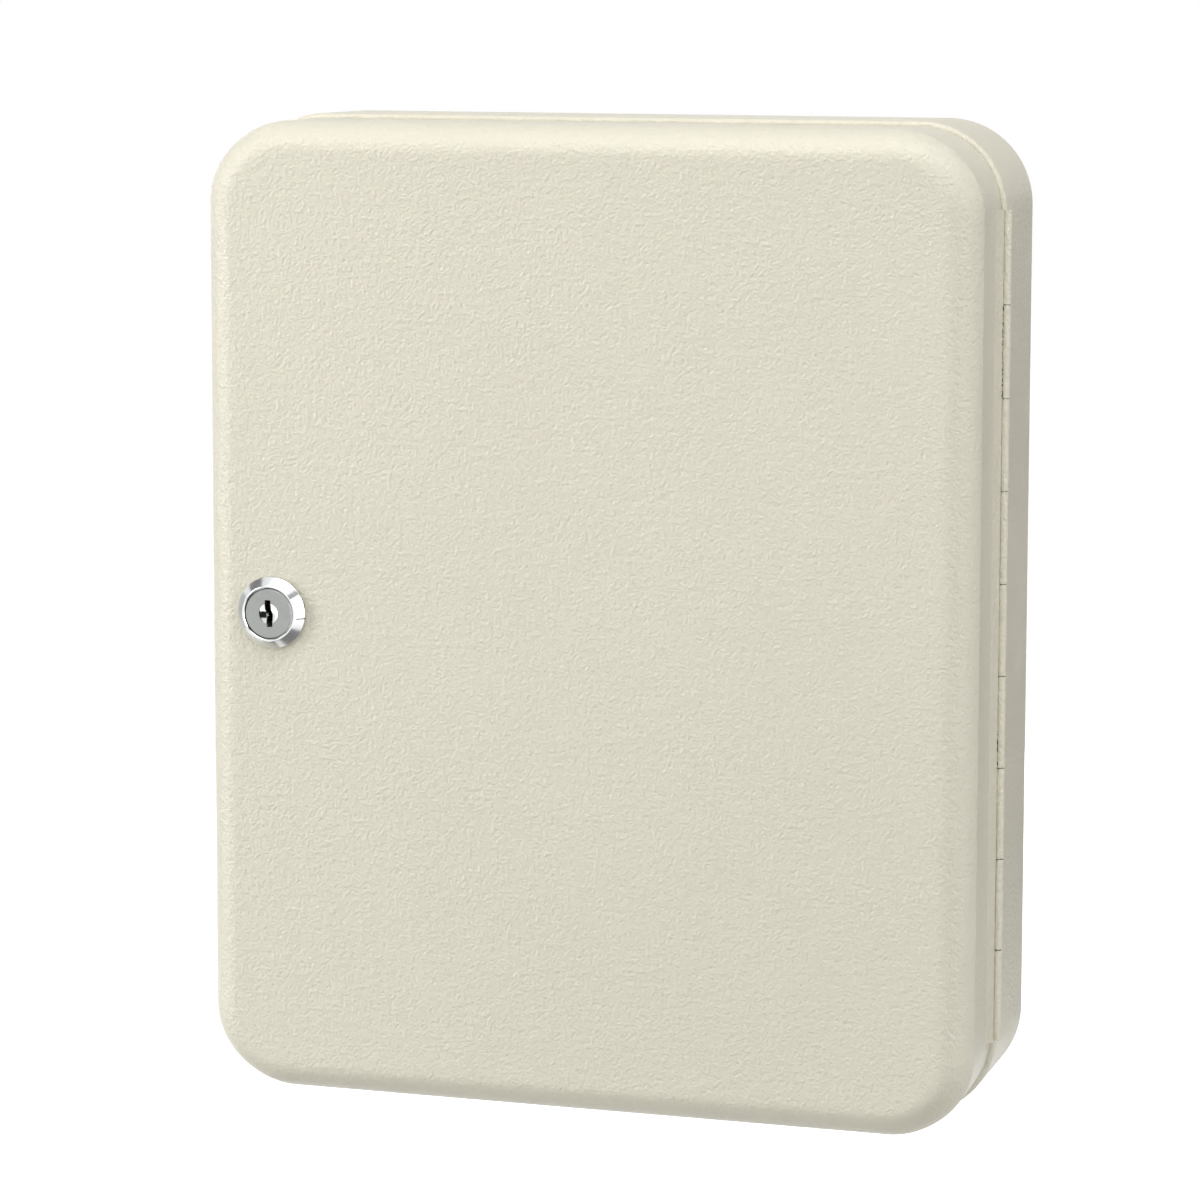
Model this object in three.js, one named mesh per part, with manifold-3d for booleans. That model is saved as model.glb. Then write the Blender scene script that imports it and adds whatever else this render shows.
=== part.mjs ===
import * as THREE from 'three';
import { mergeVertices } from 'three/addons/utils/BufferGeometryUtils.js';
import Module from 'manifold-3d';

// Wall-hung steel key cabinet: a back tray, a tray door on a piano hinge, a wafer cam lock
// and bars of key hooks. Millimetres, X towards the hinge side, Y into the wall, Z up.
// The origin is the middle of the back face, which lies on the wall.

// Casing
const casingWidth = 240;
const casingHeight = 300;
const casingDepth = 80;
const cornerRadius = 26;
const sheetThickness = 1;
const doorDepth = 35.6;
const doorStep = 1;
const doorFrontRadius = 10;
const bodyBackRadius = 4;
const bodyFrontRadius = 0.4;
const lipWidth = 12;
const wallHoleDiameter = 6;
const wallHoleInset = 20;

// Clearances
const seatGap = 0.3;
const slideGap = 0.2;
const cutOverrun = 2;

// Piano hinge
const hingeEndInset = 25.5;
const knuckleCount = 9;
const knuckleGap = 0.3;
const leafThickness = 0.7;
const pinDiameter = 1.5;
const pinGap = 0.15;
const bodyLeafWidth = 11.5;
const doorLeafWidth = 10.5;
const leafRelief = 0.4;
const rollAngle = THREE.MathUtils.degToRad(290);

// Hook bars and their number strips
const barEndInset = 20;
const barHeight = 20;
const barThickness = 1;
const barCornerRadius = 3;
const hooksPerBar = 7;
const hookEndInset = 16;
const hookWidth = 4;
const hookDrop = 3;
const hookReach = 12;
const hookTipHeight = 9;
const hookBendRadius = 1.2;
const backBarCount = 6;
const backBarInset = 40;
const doorBarsPerHalf = 2;
const doorBarInset = 57;
const lockToBarDistance = 31;
const labelEndInset = 5;
const labelHeight = 10;
const labelThickness = 0.5;
const labelRise = 3;

// Lock housing and its nut
const lockSideDistance = 22.3;
const bezelDiameter = 22;
const bezelFrontDiameter = 17.2;
const bezelHeight = 3.2;
const bezelEdgeHeight = 0.5;
const barrelDiameter = 18;
const barrelFlatsWidth = 16.4;
const barrelLength = 25;
const nutAcrossFlats = 23;
const nutThickness = 4;
const nutEdgeRadius = 0.5;

// Lock plug
const plugHeadDiameter = 15.4;
const plugHeadDepth = 3.4;
const plugFaceRecess = 0.2;
const plugDiameter = 11;
const keywayWidth = 2;
const keywayHeight = 8.4;
const keywayDepth = 22;
const faceDishDiameter = 6.1;
const faceDishDepth = 0.6;
const tailWidth = 6;
const tailSetback = 0.2;

// Wafers and their springs
const waferCount = 4;
const waferPitch = 3.6;
const firstWaferDepth = 4;
const waferThickness = 1;
const waferWidth = 5;
const waferEndInset = 0.1;
const waferTravel = 0.8;
const waferWindowWidth = 2.6;
const waferWindowHeight = 6.4;
const waferLugWidth = 1.4;
const waferLugHeight = 1;
const waferLugRise = 0.6;
const springWire = 0.2;
const springDiameter = 1;
const springTurns = 4;
const springLength = 2.8;
const springEndGap = 0.1;

// Cam, washer and screw
const camThickness = 2;
const camWidth = 11;
const camReach = 19;
const camLipGap = 0.6;
const camBendRadius = 1;
const camEndRadius = 3;
const washerDiameter = 9.4;
const washerThickness = 1;
const screwDiameter = 4;
const screwLength = 9;
const screwHeadDiameter = 7.6;
const screwHeadHeight = 2.6;
const screwHeadRadius = 1.2;
const screwSlotWidth = 1.1;
const screwSlotLength = 4.4;
const screwSlotDepth = 1.4;
const screwHoleDepth = 10;

// Facet counts
const cornerSteps = 5;
const frontEdgeSteps = 6;
const smallEdgeSteps = 3;
const smallCornerSteps = 2;
const bendSteps = 3;
const hookBendSteps = 2;
const rollSteps = 14;
const roundSteps = 32;
const holeSteps = 16;
const pinSteps = 12;
const springStepsPerTurn = 8;
const springSides = 5;

// Derived places
const doorGap = 2 * seatGap + leafThickness;
const bodyDepth = casingDepth - doorDepth - doorGap;
const bodyFrontY = -bodyDepth;
const doorFrontY = -casingDepth;
const doorBackY = doorFrontY + doorDepth;
const doorEdgeY = doorFrontY + doorFrontRadius;
const doorWidth = casingWidth - 2 * doorStep;
const doorHeight = casingHeight - 2 * doorStep;
const barrelRadius = pinDiameter / 2 + pinGap + leafThickness;
const hingeX = doorWidth / 2 + seatGap + barrelRadius;
const hingeY = bodyFrontY - seatGap - barrelRadius;
const hingeLength = casingHeight - 2 * hingeEndInset;
const knucklePitch = hingeLength / knuckleCount;
const barWidth = casingWidth - 2 * barEndInset;
const hookPitch = (barWidth - 2 * hookEndInset) / (hooksPerBar - 1);
const labelWidth = barWidth - 2 * labelEndInset;
const lockX = lockSideDistance - casingWidth / 2;
const tailFrontY = barrelLength + seatGap;
const camFrontY = tailFrontY + seatGap;
const camBackY = camFrontY + camThickness;
const tailBackY = camBackY - tailSetback;
const washerFrontY = camBackY + seatGap;
const screwSeatY = washerFrontY + washerThickness + seatGap;
const plugFaceY = plugFaceRecess - bezelHeight;

const wasm = await Module();
wasm.setup();

// Solids and meshes
function toSolid(geometry) {
  const bare = geometry.clone();
  bare.deleteAttribute('normal');
  bare.deleteAttribute('uv');
  const merged = mergeVertices(bare);
  return new wasm.Manifold(new wasm.Mesh({
    numProp: 3,
    vertProperties: merged.attributes.position.array,
    triVerts: new Uint32Array(merged.index.array),
  }));
}

function toGeometry(solid) {
  const mesh = solid.getMesh();
  const geometry = new THREE.BufferGeometry();
  geometry.setAttribute('position', new THREE.BufferAttribute(mesh.vertProperties, 3));
  geometry.setIndex(new THREE.BufferAttribute(mesh.triVerts, 1));
  geometry.computeVertexNormals();
  return geometry;
}

function join(geometries) {
  return geometries.map(toSolid).reduce((sum, solid) => sum.add(solid));
}

function cut(base, geometries) {
  return geometries.map(toSolid).reduce((rest, solid) => rest.subtract(solid), base);
}

function meet(first, second) {
  return toSolid(first).intersect(toSolid(second));
}

function piece(name, shape, finish) {
  const geometry = shape.isBufferGeometry ? shape : toGeometry(shape);
  const mesh = new THREE.Mesh(geometry, new THREE.MeshStandardMaterial(finish));
  mesh.name = name;
  return mesh;
}

function at(object, x, y, z) {
  object.position.set(x, y, z);
  return object;
}

// Finishes
const ivoryPaint = { color: 0xd8d4c0, roughness: 0.5, metalness: 0 };
const plainSteel = { color: 0xb4b4b0, roughness: 0.35, metalness: 1 };
const zincSteel = { color: 0xc2c3bf, roughness: 0.4, metalness: 1 };
const brightChrome = { color: 0xd6d6d4, roughness: 0.12, metalness: 1 };
const satinNickel = { color: 0xbdbab2, roughness: 0.32, metalness: 1 };
const brass = { color: 0xb48f4a, roughness: 0.35, metalness: 1 };
const springSteel = { color: 0x9a9a98, roughness: 0.3, metalness: 1 };
const labelCard = { color: 0xf2f1ea, roughness: 0.75, metalness: 0 };

// Outlines
function roundedOutline(width, height, radius) {
  const right = width / 2;
  const top = height / 2;
  const outline = new THREE.Shape();
  outline.moveTo(right, radius - top);
  outline.lineTo(right, top - radius);
  outline.absarc(right - radius, top - radius, radius, 0, Math.PI / 2);
  outline.lineTo(radius - right, top);
  outline.absarc(radius - right, top - radius, radius, Math.PI / 2, Math.PI);
  outline.lineTo(-right, radius - top);
  outline.absarc(radius - right, radius - top, radius, Math.PI, 1.5 * Math.PI);
  outline.lineTo(right - radius, -top);
  outline.absarc(right - radius, radius - top, radius, -Math.PI / 2, 0);
  return outline;
}

function arcPoints(centre, radius, startAngle, endAngle, steps) {
  return Array.from({ length: steps + 1 }, (_, i) => {
    const angle = startAngle + (endAngle - startAngle) * i / steps;
    return new THREE.Vector2(Math.cos(angle), Math.sin(angle)).multiplyScalar(radius).add(centre);
  });
}

// A strip of even thickness along a centre line of straight runs, with a round bend at each corner.
function bentStrip(corners, thickness, insideRadius, steps) {
  const middleRadius = insideRadius + thickness / 2;
  const side = (point, direction, offset) => (
    new THREE.Vector2(-direction.y, direction.x).multiplyScalar(offset).add(point)
  );
  const runs = corners.slice(1).map((corner, i) => corner.clone().sub(corners[i]).normalize());
  const left = [side(corners[0], runs[0], thickness / 2)];
  const right = [side(corners[0], runs[0], -thickness / 2)];
  for (let i = 1; i < runs.length; i += 1) {
    const turn = Math.atan2(runs[i - 1].cross(runs[i]), runs[i - 1].dot(runs[i]));
    const hand = Math.sign(turn);
    const setback = middleRadius * Math.tan(Math.abs(turn) / 2);
    const bendStart = corners[i].clone().addScaledVector(runs[i - 1], -setback);
    const centre = side(bendStart, runs[i - 1], hand * middleRadius);
    const startAngle = Math.atan2(bendStart.y - centre.y, bendStart.x - centre.x);
    const arc = (offset) => (
      arcPoints(centre, middleRadius - hand * offset, startAngle, startAngle + turn, steps)
    );
    left.push(...arc(thickness / 2));
    right.push(...arc(-thickness / 2));
  }
  const last = runs.length - 1;
  left.push(side(corners[last + 1], runs[last], thickness / 2));
  right.push(side(corners[last + 1], runs[last], -thickness / 2));
  return new THREE.Shape([...right, ...left.reverse()]);
}

// Forms
function plateAlongY(outline, frontY, backY, steps, edgeRadius = 0, edgeSteps = 1) {
  const geometry = new THREE.ExtrudeGeometry(outline, {
    depth: backY - frontY - 2 * edgeRadius,
    curveSegments: steps,
    bevelEnabled: edgeRadius > 0,
    bevelThickness: edgeRadius,
    bevelSize: edgeRadius,
    bevelOffset: -edgeRadius,
    bevelSegments: edgeSteps,
  });
  return geometry.rotateX(Math.PI / 2).translate(0, backY - edgeRadius, 0);
}

function profileAlongX(outline, fromX, toX) {
  const geometry = new THREE.ExtrudeGeometry(outline, { depth: toX - fromX, bevelEnabled: false });
  const turn = new THREE.Matrix4().makeBasis(
    new THREE.Vector3(0, 1, 0),
    new THREE.Vector3(0, 0, 1),
    new THREE.Vector3(1, 0, 0),
  );
  return geometry.applyMatrix4(turn).translate(fromX, 0, 0);
}

function profileAlongZ(outline, fromZ, toZ, steps) {
  const options = { depth: toZ - fromZ, bevelEnabled: false, curveSegments: steps };
  return new THREE.ExtrudeGeometry(outline, options).translate(0, 0, fromZ);
}

function block(fromX, toX, fromY, toY, fromZ, toZ) {
  const box = new THREE.BoxGeometry(toX - fromX, toY - fromY, toZ - fromZ);
  return box.translate((fromX + toX) / 2, (fromY + toY) / 2, (fromZ + toZ) / 2);
}

// A turned form about the Y axis from [radius, y] points, anticlockwise, closed on itself or the axis.
function turned(points, steps) {
  return new THREE.LatheGeometry(points.map(([radius, y]) => new THREE.Vector2(radius, y)), steps);
}

function roundRod(diameter, frontY, backY, steps) {
  const radius = diameter / 2;
  return turned([[0, frontY], [radius, frontY], [radius, backY], [0, backY]], steps);
}

// Casing shells
function trayBlock(width, height, radius, frontY, backY, edgeRadius, edgeSteps) {
  return plateAlongY(
    roundedOutline(width, height, radius), frontY, backY, cornerSteps, edgeRadius, edgeSteps,
  );
}

// Back of the tray: the wall panel with its bent edge and the wall holes
function bodyShell() {
  const wall = sheetThickness;
  const frontY = -bodyBackRadius;
  const spare = cutOverrun + bodyBackRadius;
  const outside = meet(
    trayBlock(casingWidth, casingHeight, cornerRadius, frontY - spare, 0,
      bodyBackRadius, smallEdgeSteps),
    trayBlock(casingWidth, casingHeight, cornerRadius, frontY, cutOverrun),
  );
  const cavity = trayBlock(
    casingWidth - 2 * wall, casingHeight - 2 * wall, cornerRadius - wall,
    frontY - spare, -wall, bodyBackRadius - wall, smallEdgeSteps,
  );
  const holes = [];
  for (const sideX of [-1, 1]) {
    for (const sideZ of [-1, 1]) {
      holes.push(roundRod(wallHoleDiameter, -wall - cutOverrun, cutOverrun, holeSteps).translate(
        sideX * (casingWidth / 2 - wallHoleInset), 0, sideZ * (casingHeight / 2 - wallHoleInset),
      ));
    }
  }
  return cut(outside, [cavity, ...holes]);
}

// Straight wall of the tray, from its back edge to its mouth
function sideWall() {
  const wall = sheetThickness;
  const backY = -bodyBackRadius - seatGap;
  const outside = meet(
    trayBlock(casingWidth, casingHeight, cornerRadius, bodyFrontY, backY + cutOverrun,
      bodyFrontRadius, smallEdgeSteps),
    trayBlock(casingWidth, casingHeight, cornerRadius, bodyFrontY - cutOverrun, backY),
  );
  const cavity = trayBlock(
    casingWidth - 2 * wall, casingHeight - 2 * wall, cornerRadius - wall,
    bodyFrontY - cutOverrun, backY + cutOverrun,
  );
  return cut(outside, [cavity]);
}

// Flat frame inside the mouth of the back tray, which the cam turns in behind
function frontFrame() {
  const inset = sheetThickness + seatGap;
  const outline = roundedOutline(
    casingWidth - 2 * inset, casingHeight - 2 * inset, cornerRadius - inset,
  );
  outline.holes.push(roundedOutline(
    casingWidth - 2 * lipWidth, casingHeight - 2 * lipWidth, cornerRadius - lipWidth,
  ));
  return plateAlongY(outline, bodyFrontY, bodyFrontY + sheetThickness, cornerSteps);
}

function barrelOutlineBlock(clearance, frontY, backY) {
  const reach = barrelDiameter / 2 + cutOverrun;
  const halfFlats = barrelFlatsWidth / 2 + clearance;
  return meet(
    roundRod(barrelDiameter + 2 * clearance, frontY, backY, roundSteps),
    block(-reach, reach, frontY - cutOverrun, backY + cutOverrun, -halfFlats, halfFlats),
  );
}

// Front of the door: the panel with its rounded edge and the hole for the lock
function doorShell() {
  const wall = sheetThickness;
  const corner = cornerRadius - doorStep;
  const spare = cutOverrun + doorFrontRadius;
  const outside = meet(
    trayBlock(doorWidth, doorHeight, corner, doorFrontY, doorEdgeY + spare,
      doorFrontRadius, frontEdgeSteps),
    trayBlock(casingWidth, casingHeight, cornerRadius, doorFrontY - cutOverrun, doorEdgeY),
  );
  const cavity = trayBlock(
    doorWidth - 2 * wall, doorHeight - 2 * wall, corner - wall,
    doorFrontY + wall, doorEdgeY + spare, doorFrontRadius - wall, frontEdgeSteps,
  );
  const lockHole = barrelOutlineBlock(seatGap, doorFrontY - cutOverrun, doorFrontY + wall + cutOverrun);
  return cut(outside, [cavity]).subtract(lockHole.translate(lockX, 0, 0));
}

// Straight skirt of the door, from its rounded edge to the casing
function doorSkirt() {
  const wall = sheetThickness;
  const corner = cornerRadius - doorStep;
  const frontY = doorEdgeY + seatGap;
  const outside = trayBlock(doorWidth, doorHeight, corner, frontY, doorBackY);
  const cavity = trayBlock(
    doorWidth - 2 * wall, doorHeight - 2 * wall, corner - wall,
    frontY - cutOverrun, doorBackY + cutOverrun,
  );
  return cut(toSolid(outside), [cavity]);
}

// Piano hinge, with the pin on the Z axis and the leaf running towards -X on the wall side
function knuckleOutline(rootLength) {
  const plateAngle = Math.PI / 2;
  const innerRadius = barrelRadius - leafThickness;
  const centre = new THREE.Vector2(0, 0);
  return new THREE.Shape([
    new THREE.Vector2(-rootLength, barrelRadius),
    ...arcPoints(centre, barrelRadius, plateAngle, plateAngle - rollAngle, rollSteps),
    ...arcPoints(centre, innerRadius, plateAngle - rollAngle, plateAngle, rollSteps),
    new THREE.Vector2(-rootLength, innerRadius),
  ]);
}

function hingeLeaf(leafWidth, firstKnuckle) {
  const leafEdge = barrelRadius + leafRelief;
  const halfLength = hingeLength / 2;
  const plate = block(
    -leafWidth, -leafEdge, barrelRadius - leafThickness, barrelRadius, -halfLength, halfLength,
  );
  const knuckles = [];
  for (let i = firstKnuckle; i < knuckleCount; i += 2) {
    const bottom = i * knucklePitch - halfLength;
    const lowGap = i > 0 ? knuckleGap / 2 : 0;
    const highGap = i < knuckleCount - 1 ? knuckleGap / 2 : 0;
    knuckles.push(profileAlongZ(
      knuckleOutline(leafEdge + cutOverrun), bottom + lowGap, bottom + knucklePitch - highGap,
    ));
  }
  return join([plate, ...knuckles]);
}

function hingePin() {
  return roundRod(pinDiameter, -hingeLength / 2, hingeLength / 2, pinSteps).rotateX(Math.PI / 2);
}

// Hook bar, with its back face on Y = 0 and its hooks towards -Y
function hookBar() {
  const middle = barThickness / 2;
  const underside = -barHeight / 2 - hookDrop;
  const rootTop = cutOverrun - barHeight / 2;
  const profile = bentStrip([
    new THREE.Vector2(-middle, rootTop),
    new THREE.Vector2(-middle, underside + middle),
    new THREE.Vector2(middle - hookReach, underside + middle),
    new THREE.Vector2(middle - hookReach, underside + hookTipHeight),
  ], barThickness, hookBendRadius, hookBendSteps);
  const strip = plateAlongY(
    roundedOutline(barWidth, barHeight, barCornerRadius), -barThickness, 0, smallCornerSteps,
  );
  const hooks = [];
  for (let i = 0; i < hooksPerBar; i += 1) {
    const hookX = (i - (hooksPerBar - 1) / 2) * hookPitch;
    hooks.push(profileAlongX(profile, hookX - hookWidth / 2, hookX + hookWidth / 2));
  }
  return join([strip, ...hooks]);
}

function labelStrip() {
  const frontY = -barThickness - seatGap - labelThickness;
  return block(
    -labelWidth / 2, labelWidth / 2, frontY, frontY + labelThickness,
    labelRise - labelHeight / 2, labelRise + labelHeight / 2,
  );
}

// Even places from the first to the last, both counted.
function evenPlaces(first, last, count) {
  return Array.from({ length: count }, (_, i) => first + (last - first) * i / (count - 1));
}

function barRows(prefix, heights) {
  return heights.map((height, i) => {
    const row = new THREE.Group();
    row.add(piece(`${prefix}_hook_bar_${i + 1}`, hookBar(), ivoryPaint));
    row.add(piece(`${prefix}_label_strip_${i + 1}`, labelStrip(), labelCard));
    return at(row, 0, 0, height);
  });
}

// Lock, with its axis along Y and Y = 0 on the front face of the door
function lockHousing() {
  const headRadius = plugHeadDiameter / 2 + slideGap;
  const boreRadius = plugDiameter / 2 + slideGap;
  const shoulderY = plugFaceY + plugHeadDepth + slideGap;
  const bezel = turned([
    [0, -bezelHeight],
    [bezelFrontDiameter / 2, -bezelHeight],
    [bezelDiameter / 2, -seatGap - bezelEdgeHeight],
    [bezelDiameter / 2, -seatGap],
    [0, -seatGap],
  ], roundSteps);
  const barrel = barrelOutlineBlock(0, -seatGap - bezelEdgeHeight, barrelLength);
  const bore = roundRod(2 * boreRadius, -bezelHeight, barrelLength + cutOverrun, roundSteps);
  const headBore = roundRod(2 * headRadius, -bezelHeight - cutOverrun, shoulderY, roundSteps);
  const grooveHalf = waferWidth / 2 + slideGap;
  const grooveReach = plugDiameter / 2 - waferEndInset + waferTravel + seatGap;
  const grooveFrontY = plugFaceY + plugHeadDepth + slideGap;
  const grooves = [
    block(-grooveHalf, grooveHalf, grooveFrontY, keywayDepth, -grooveReach, grooveReach),
    block(-grooveReach, grooveReach, grooveFrontY, keywayDepth, -grooveHalf, grooveHalf),
  ];
  return cut(toSolid(bezel).add(barrel), [bore, headBore, ...grooves]);
}

function lockNut() {
  const corners = arcPoints(
    new THREE.Vector2(0, 0), nutAcrossFlats / Math.sqrt(3), 0, 2 * Math.PI, 6,
  );
  const frontY = sheetThickness + seatGap;
  const hexagon = plateAlongY(
    new THREE.Shape(corners.slice(0, 6)), frontY, frontY + nutThickness, 1, nutEdgeRadius, 1,
  );
  const hole = roundRod(
    barrelDiameter + 2 * slideGap, frontY - cutOverrun, frontY + nutThickness + cutOverrun, roundSteps,
  );
  return cut(toSolid(hexagon), [hole]);
}

function waferY(index) {
  return firstWaferDepth + index * waferPitch;
}

function lockPlug() {
  const radius = plugDiameter / 2;
  const headRadius = plugHeadDiameter / 2;
  const headBackY = plugFaceY + plugHeadDepth;
  const body = turned([
    [0, plugFaceY], [headRadius, plugFaceY], [headRadius, headBackY],
    [radius, headBackY], [radius, tailFrontY], [0, tailFrontY],
  ], roundSteps);
  const halfTail = tailWidth / 2;
  const tail = block(-halfTail, halfTail, tailFrontY - cutOverrun, tailBackY, -halfTail, halfTail);
  const slotHalf = waferWidth / 2 + slideGap;
  const lugEdge = waferWidth / 2 + waferLugWidth + slideGap;
  const pocketLow = waferLugRise - springLength - 2 * springEndGap;
  const pocketHigh = waferLugRise + waferLugHeight + waferTravel + slideGap;
  const cuts = [
    block(-keywayWidth / 2, keywayWidth / 2, plugFaceY - cutOverrun, keywayDepth,
      -keywayHeight / 2, keywayHeight / 2),
    roundRod(faceDishDiameter, plugFaceY - cutOverrun, plugFaceY + faceDishDepth, holeSteps),
    roundRod(screwDiameter + 2 * slideGap, tailBackY - screwHoleDepth, tailBackY + cutOverrun,
      holeSteps),
  ];
  for (let i = 0; i < waferCount; i += 1) {
    const frontY = waferY(i) - slideGap;
    const backY = waferY(i) + waferThickness + slideGap;
    cuts.push(block(-slotHalf, slotHalf, frontY, backY, -headRadius, headRadius));
    cuts.push(block(0, lugEdge, frontY, backY, pocketLow, pocketHigh));
  }
  return cut(join([body, tail]), cuts);
}

function wafer() {
  const side = waferWidth / 2;
  const radius = plugDiameter / 2 - waferEndInset;
  const edgeAngle = Math.acos(side / radius);
  const edgeZ = radius * Math.sin(edgeAngle);
  const outline = new THREE.Shape();
  outline.moveTo(side, -edgeZ);
  outline.lineTo(side, waferLugRise);
  outline.lineTo(side + waferLugWidth, waferLugRise);
  outline.lineTo(side + waferLugWidth, waferLugRise + waferLugHeight);
  outline.lineTo(side, waferLugRise + waferLugHeight);
  outline.lineTo(side, edgeZ);
  outline.absarc(0, 0, radius, edgeAngle, Math.PI - edgeAngle);
  outline.lineTo(-side, -edgeZ);
  outline.absarc(0, 0, radius, Math.PI + edgeAngle, 2 * Math.PI - edgeAngle);
  const windowX = waferWindowWidth / 2;
  const windowZ = waferWindowHeight / 2;
  outline.holes.push(new THREE.Path([
    new THREE.Vector2(-windowX, -windowZ),
    new THREE.Vector2(-windowX, windowZ),
    new THREE.Vector2(windowX, windowZ),
    new THREE.Vector2(windowX, -windowZ),
  ]));
  return plateAlongY(outline, 0, waferThickness, smallCornerSteps);
}

class SpringLine extends THREE.Curve {
  getPoint(share) {
    const radius = (springDiameter - springWire) / 2;
    const angle = 2 * Math.PI * springTurns * share;
    const climb = (springLength - springWire) * share;
    return new THREE.Vector3(radius * Math.cos(angle), radius * Math.sin(angle), climb);
  }
}

function waferSpring() {
  const centre = new THREE.Vector2(0, 0);
  const section = arcPoints(centre, springWire / 2, 0, 2 * Math.PI, springSides).slice(0, springSides);
  const coil = new THREE.ExtrudeGeometry(new THREE.Shape(section), {
    steps: springTurns * springStepsPerTurn,
    extrudePath: new SpringLine(),
  });
  return coil.translate(0, 0, waferLugRise - springEndGap - springLength + springWire / 2);
}

function lockCam() {
  const hubRadius = camWidth / 2;
  const lipBackY = bodyFrontY + sheetThickness - doorFrontY;
  const latchY = lipBackY + camLipGap + camThickness / 2;
  const hubY = camFrontY + camThickness / 2;
  const sweepRadius = lockSideDistance - lipWidth - camLipGap;
  const crankZ = camThickness / 2 - Math.sqrt(sweepRadius ** 2 - hubRadius ** 2);
  const strip = profileAlongX(bentStrip([
    new THREE.Vector2(hubY, hubRadius),
    new THREE.Vector2(hubY, crankZ),
    new THREE.Vector2(latchY, crankZ),
    new THREE.Vector2(latchY, -camReach),
  ], camThickness, camBendRadius, bendSteps), -hubRadius, hubRadius);
  const rim = new THREE.Shape();
  rim.absarc(0, 0, hubRadius, 0, Math.PI);
  rim.lineTo(-hubRadius, camEndRadius - camReach);
  rim.absarc(camEndRadius - hubRadius, camEndRadius - camReach, camEndRadius,
    Math.PI, 1.5 * Math.PI);
  rim.absarc(hubRadius - camEndRadius, camEndRadius - camReach, camEndRadius,
    -Math.PI / 2, 0);
  const blank = plateAlongY(rim, camFrontY - cutOverrun, latchY + camThickness + cutOverrun,
    cornerSteps);
  const holeHalf = tailWidth / 2 + slideGap;
  const hole = block(-holeHalf, holeHalf, camFrontY - cutOverrun, camBackY + cutOverrun,
    -holeHalf, holeHalf);
  return cut(meet(strip, blank), [hole]);
}

function camWasher() {
  const backY = washerFrontY + washerThickness;
  const hole = roundRod(screwDiameter + 2 * slideGap, washerFrontY - cutOverrun, backY + cutOverrun,
    holeSteps);
  return cut(toSolid(roundRod(washerDiameter, washerFrontY, backY, roundSteps)), [hole]);
}

function camScrew() {
  const headRadius = screwHeadDiameter / 2;
  const headBackY = screwSeatY + screwHeadHeight;
  const shoulder = arcPoints(
    new THREE.Vector2(headRadius - screwHeadRadius, headBackY - screwHeadRadius),
    screwHeadRadius, 0, Math.PI / 2, bendSteps,
  );
  const rod = turned([
    [0, screwSeatY - screwLength],
    [screwDiameter / 2, screwSeatY - screwLength],
    [screwDiameter / 2, screwSeatY],
    [headRadius, screwSeatY],
    ...shoulder.map((point) => [point.x, point.y]),
    [0, headBackY],
  ], holeSteps);
  const slotY = headBackY - screwSlotDepth;
  const long = screwSlotLength / 2;
  const wide = screwSlotWidth / 2;
  return cut(toSolid(rod), [
    block(-long, long, slotY, headBackY + cutOverrun, -wide, wide),
    block(-wide, wide, slotY, headBackY + cutOverrun, -long, long),
  ]);
}

// Assemblies
function bodyGroup() {
  const group = new THREE.Group();
  const hinge = at(new THREE.Group(), hingeX, hingeY, 0);
  const bars = at(new THREE.Group(), 0, -sheetThickness - seatGap, 0);
  hinge.add(piece('body_hinge_leaf', hingeLeaf(bodyLeafWidth, 0), ivoryPaint));
  hinge.add(piece('hinge_pin', hingePin(), plainSteel));
  const topBarZ = casingHeight / 2 - backBarInset;
  bars.add(...barRows('back', evenPlaces(topBarZ, -topBarZ, backBarCount)));
  group.add(piece('body_shell', bodyShell(), ivoryPaint));
  group.add(piece('side_wall', sideWall(), ivoryPaint));
  group.add(piece('front_frame', frontFrame(), ivoryPaint), hinge, bars);
  return group;
}

function lockGroup() {
  const group = at(new THREE.Group(), lockX, doorFrontY, 0);
  group.add(piece('lock_housing', lockHousing(), brightChrome));
  group.add(piece('lock_nut', lockNut(), zincSteel));
  group.add(piece('lock_plug', lockPlug(), satinNickel));
  group.add(piece('lock_cam', lockCam(), zincSteel));
  group.add(piece('cam_washer', camWasher(), zincSteel));
  group.add(piece('cam_screw', camScrew(), zincSteel));
  const springX = (waferWidth + waferLugWidth) / 2;
  for (let i = 0; i < waferCount; i += 1) {
    group.add(at(piece(`wafer_${i + 1}`, wafer(), brass), 0, waferY(i), 0));
    const springY = waferY(i) + waferThickness / 2;
    group.add(at(piece(`wafer_spring_${i + 1}`, waferSpring(), springSteel), springX, springY, 0));
  }
  return group;
}

function doorGroup() {
  const group = new THREE.Group();
  const hinge = at(new THREE.Group(), hingeX, hingeY, 0);
  const bars = at(new THREE.Group(), 0, doorFrontY + sheetThickness + seatGap, 0);
  const leaf = piece('door_hinge_leaf', hingeLeaf(doorLeafWidth, 1), ivoryPaint);
  leaf.rotation.z = Math.PI / 2;
  hinge.add(leaf);
  const topBarZ = casingHeight / 2 - doorBarInset;
  const upper = evenPlaces(topBarZ, lockToBarDistance, doorBarsPerHalf);
  const lower = evenPlaces(-lockToBarDistance, -topBarZ, doorBarsPerHalf);
  bars.add(...barRows('door', [...upper, ...lower]));
  bars.rotation.z = Math.PI;
  group.add(piece('door_shell', doorShell(), ivoryPaint));
  group.add(piece('door_skirt', doorSkirt(), ivoryPaint), hinge, bars, lockGroup());
  return group;
}

const cabinet = new THREE.Group();
cabinet.add(bodyGroup(), doorGroup());

export default cabinet;
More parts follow.
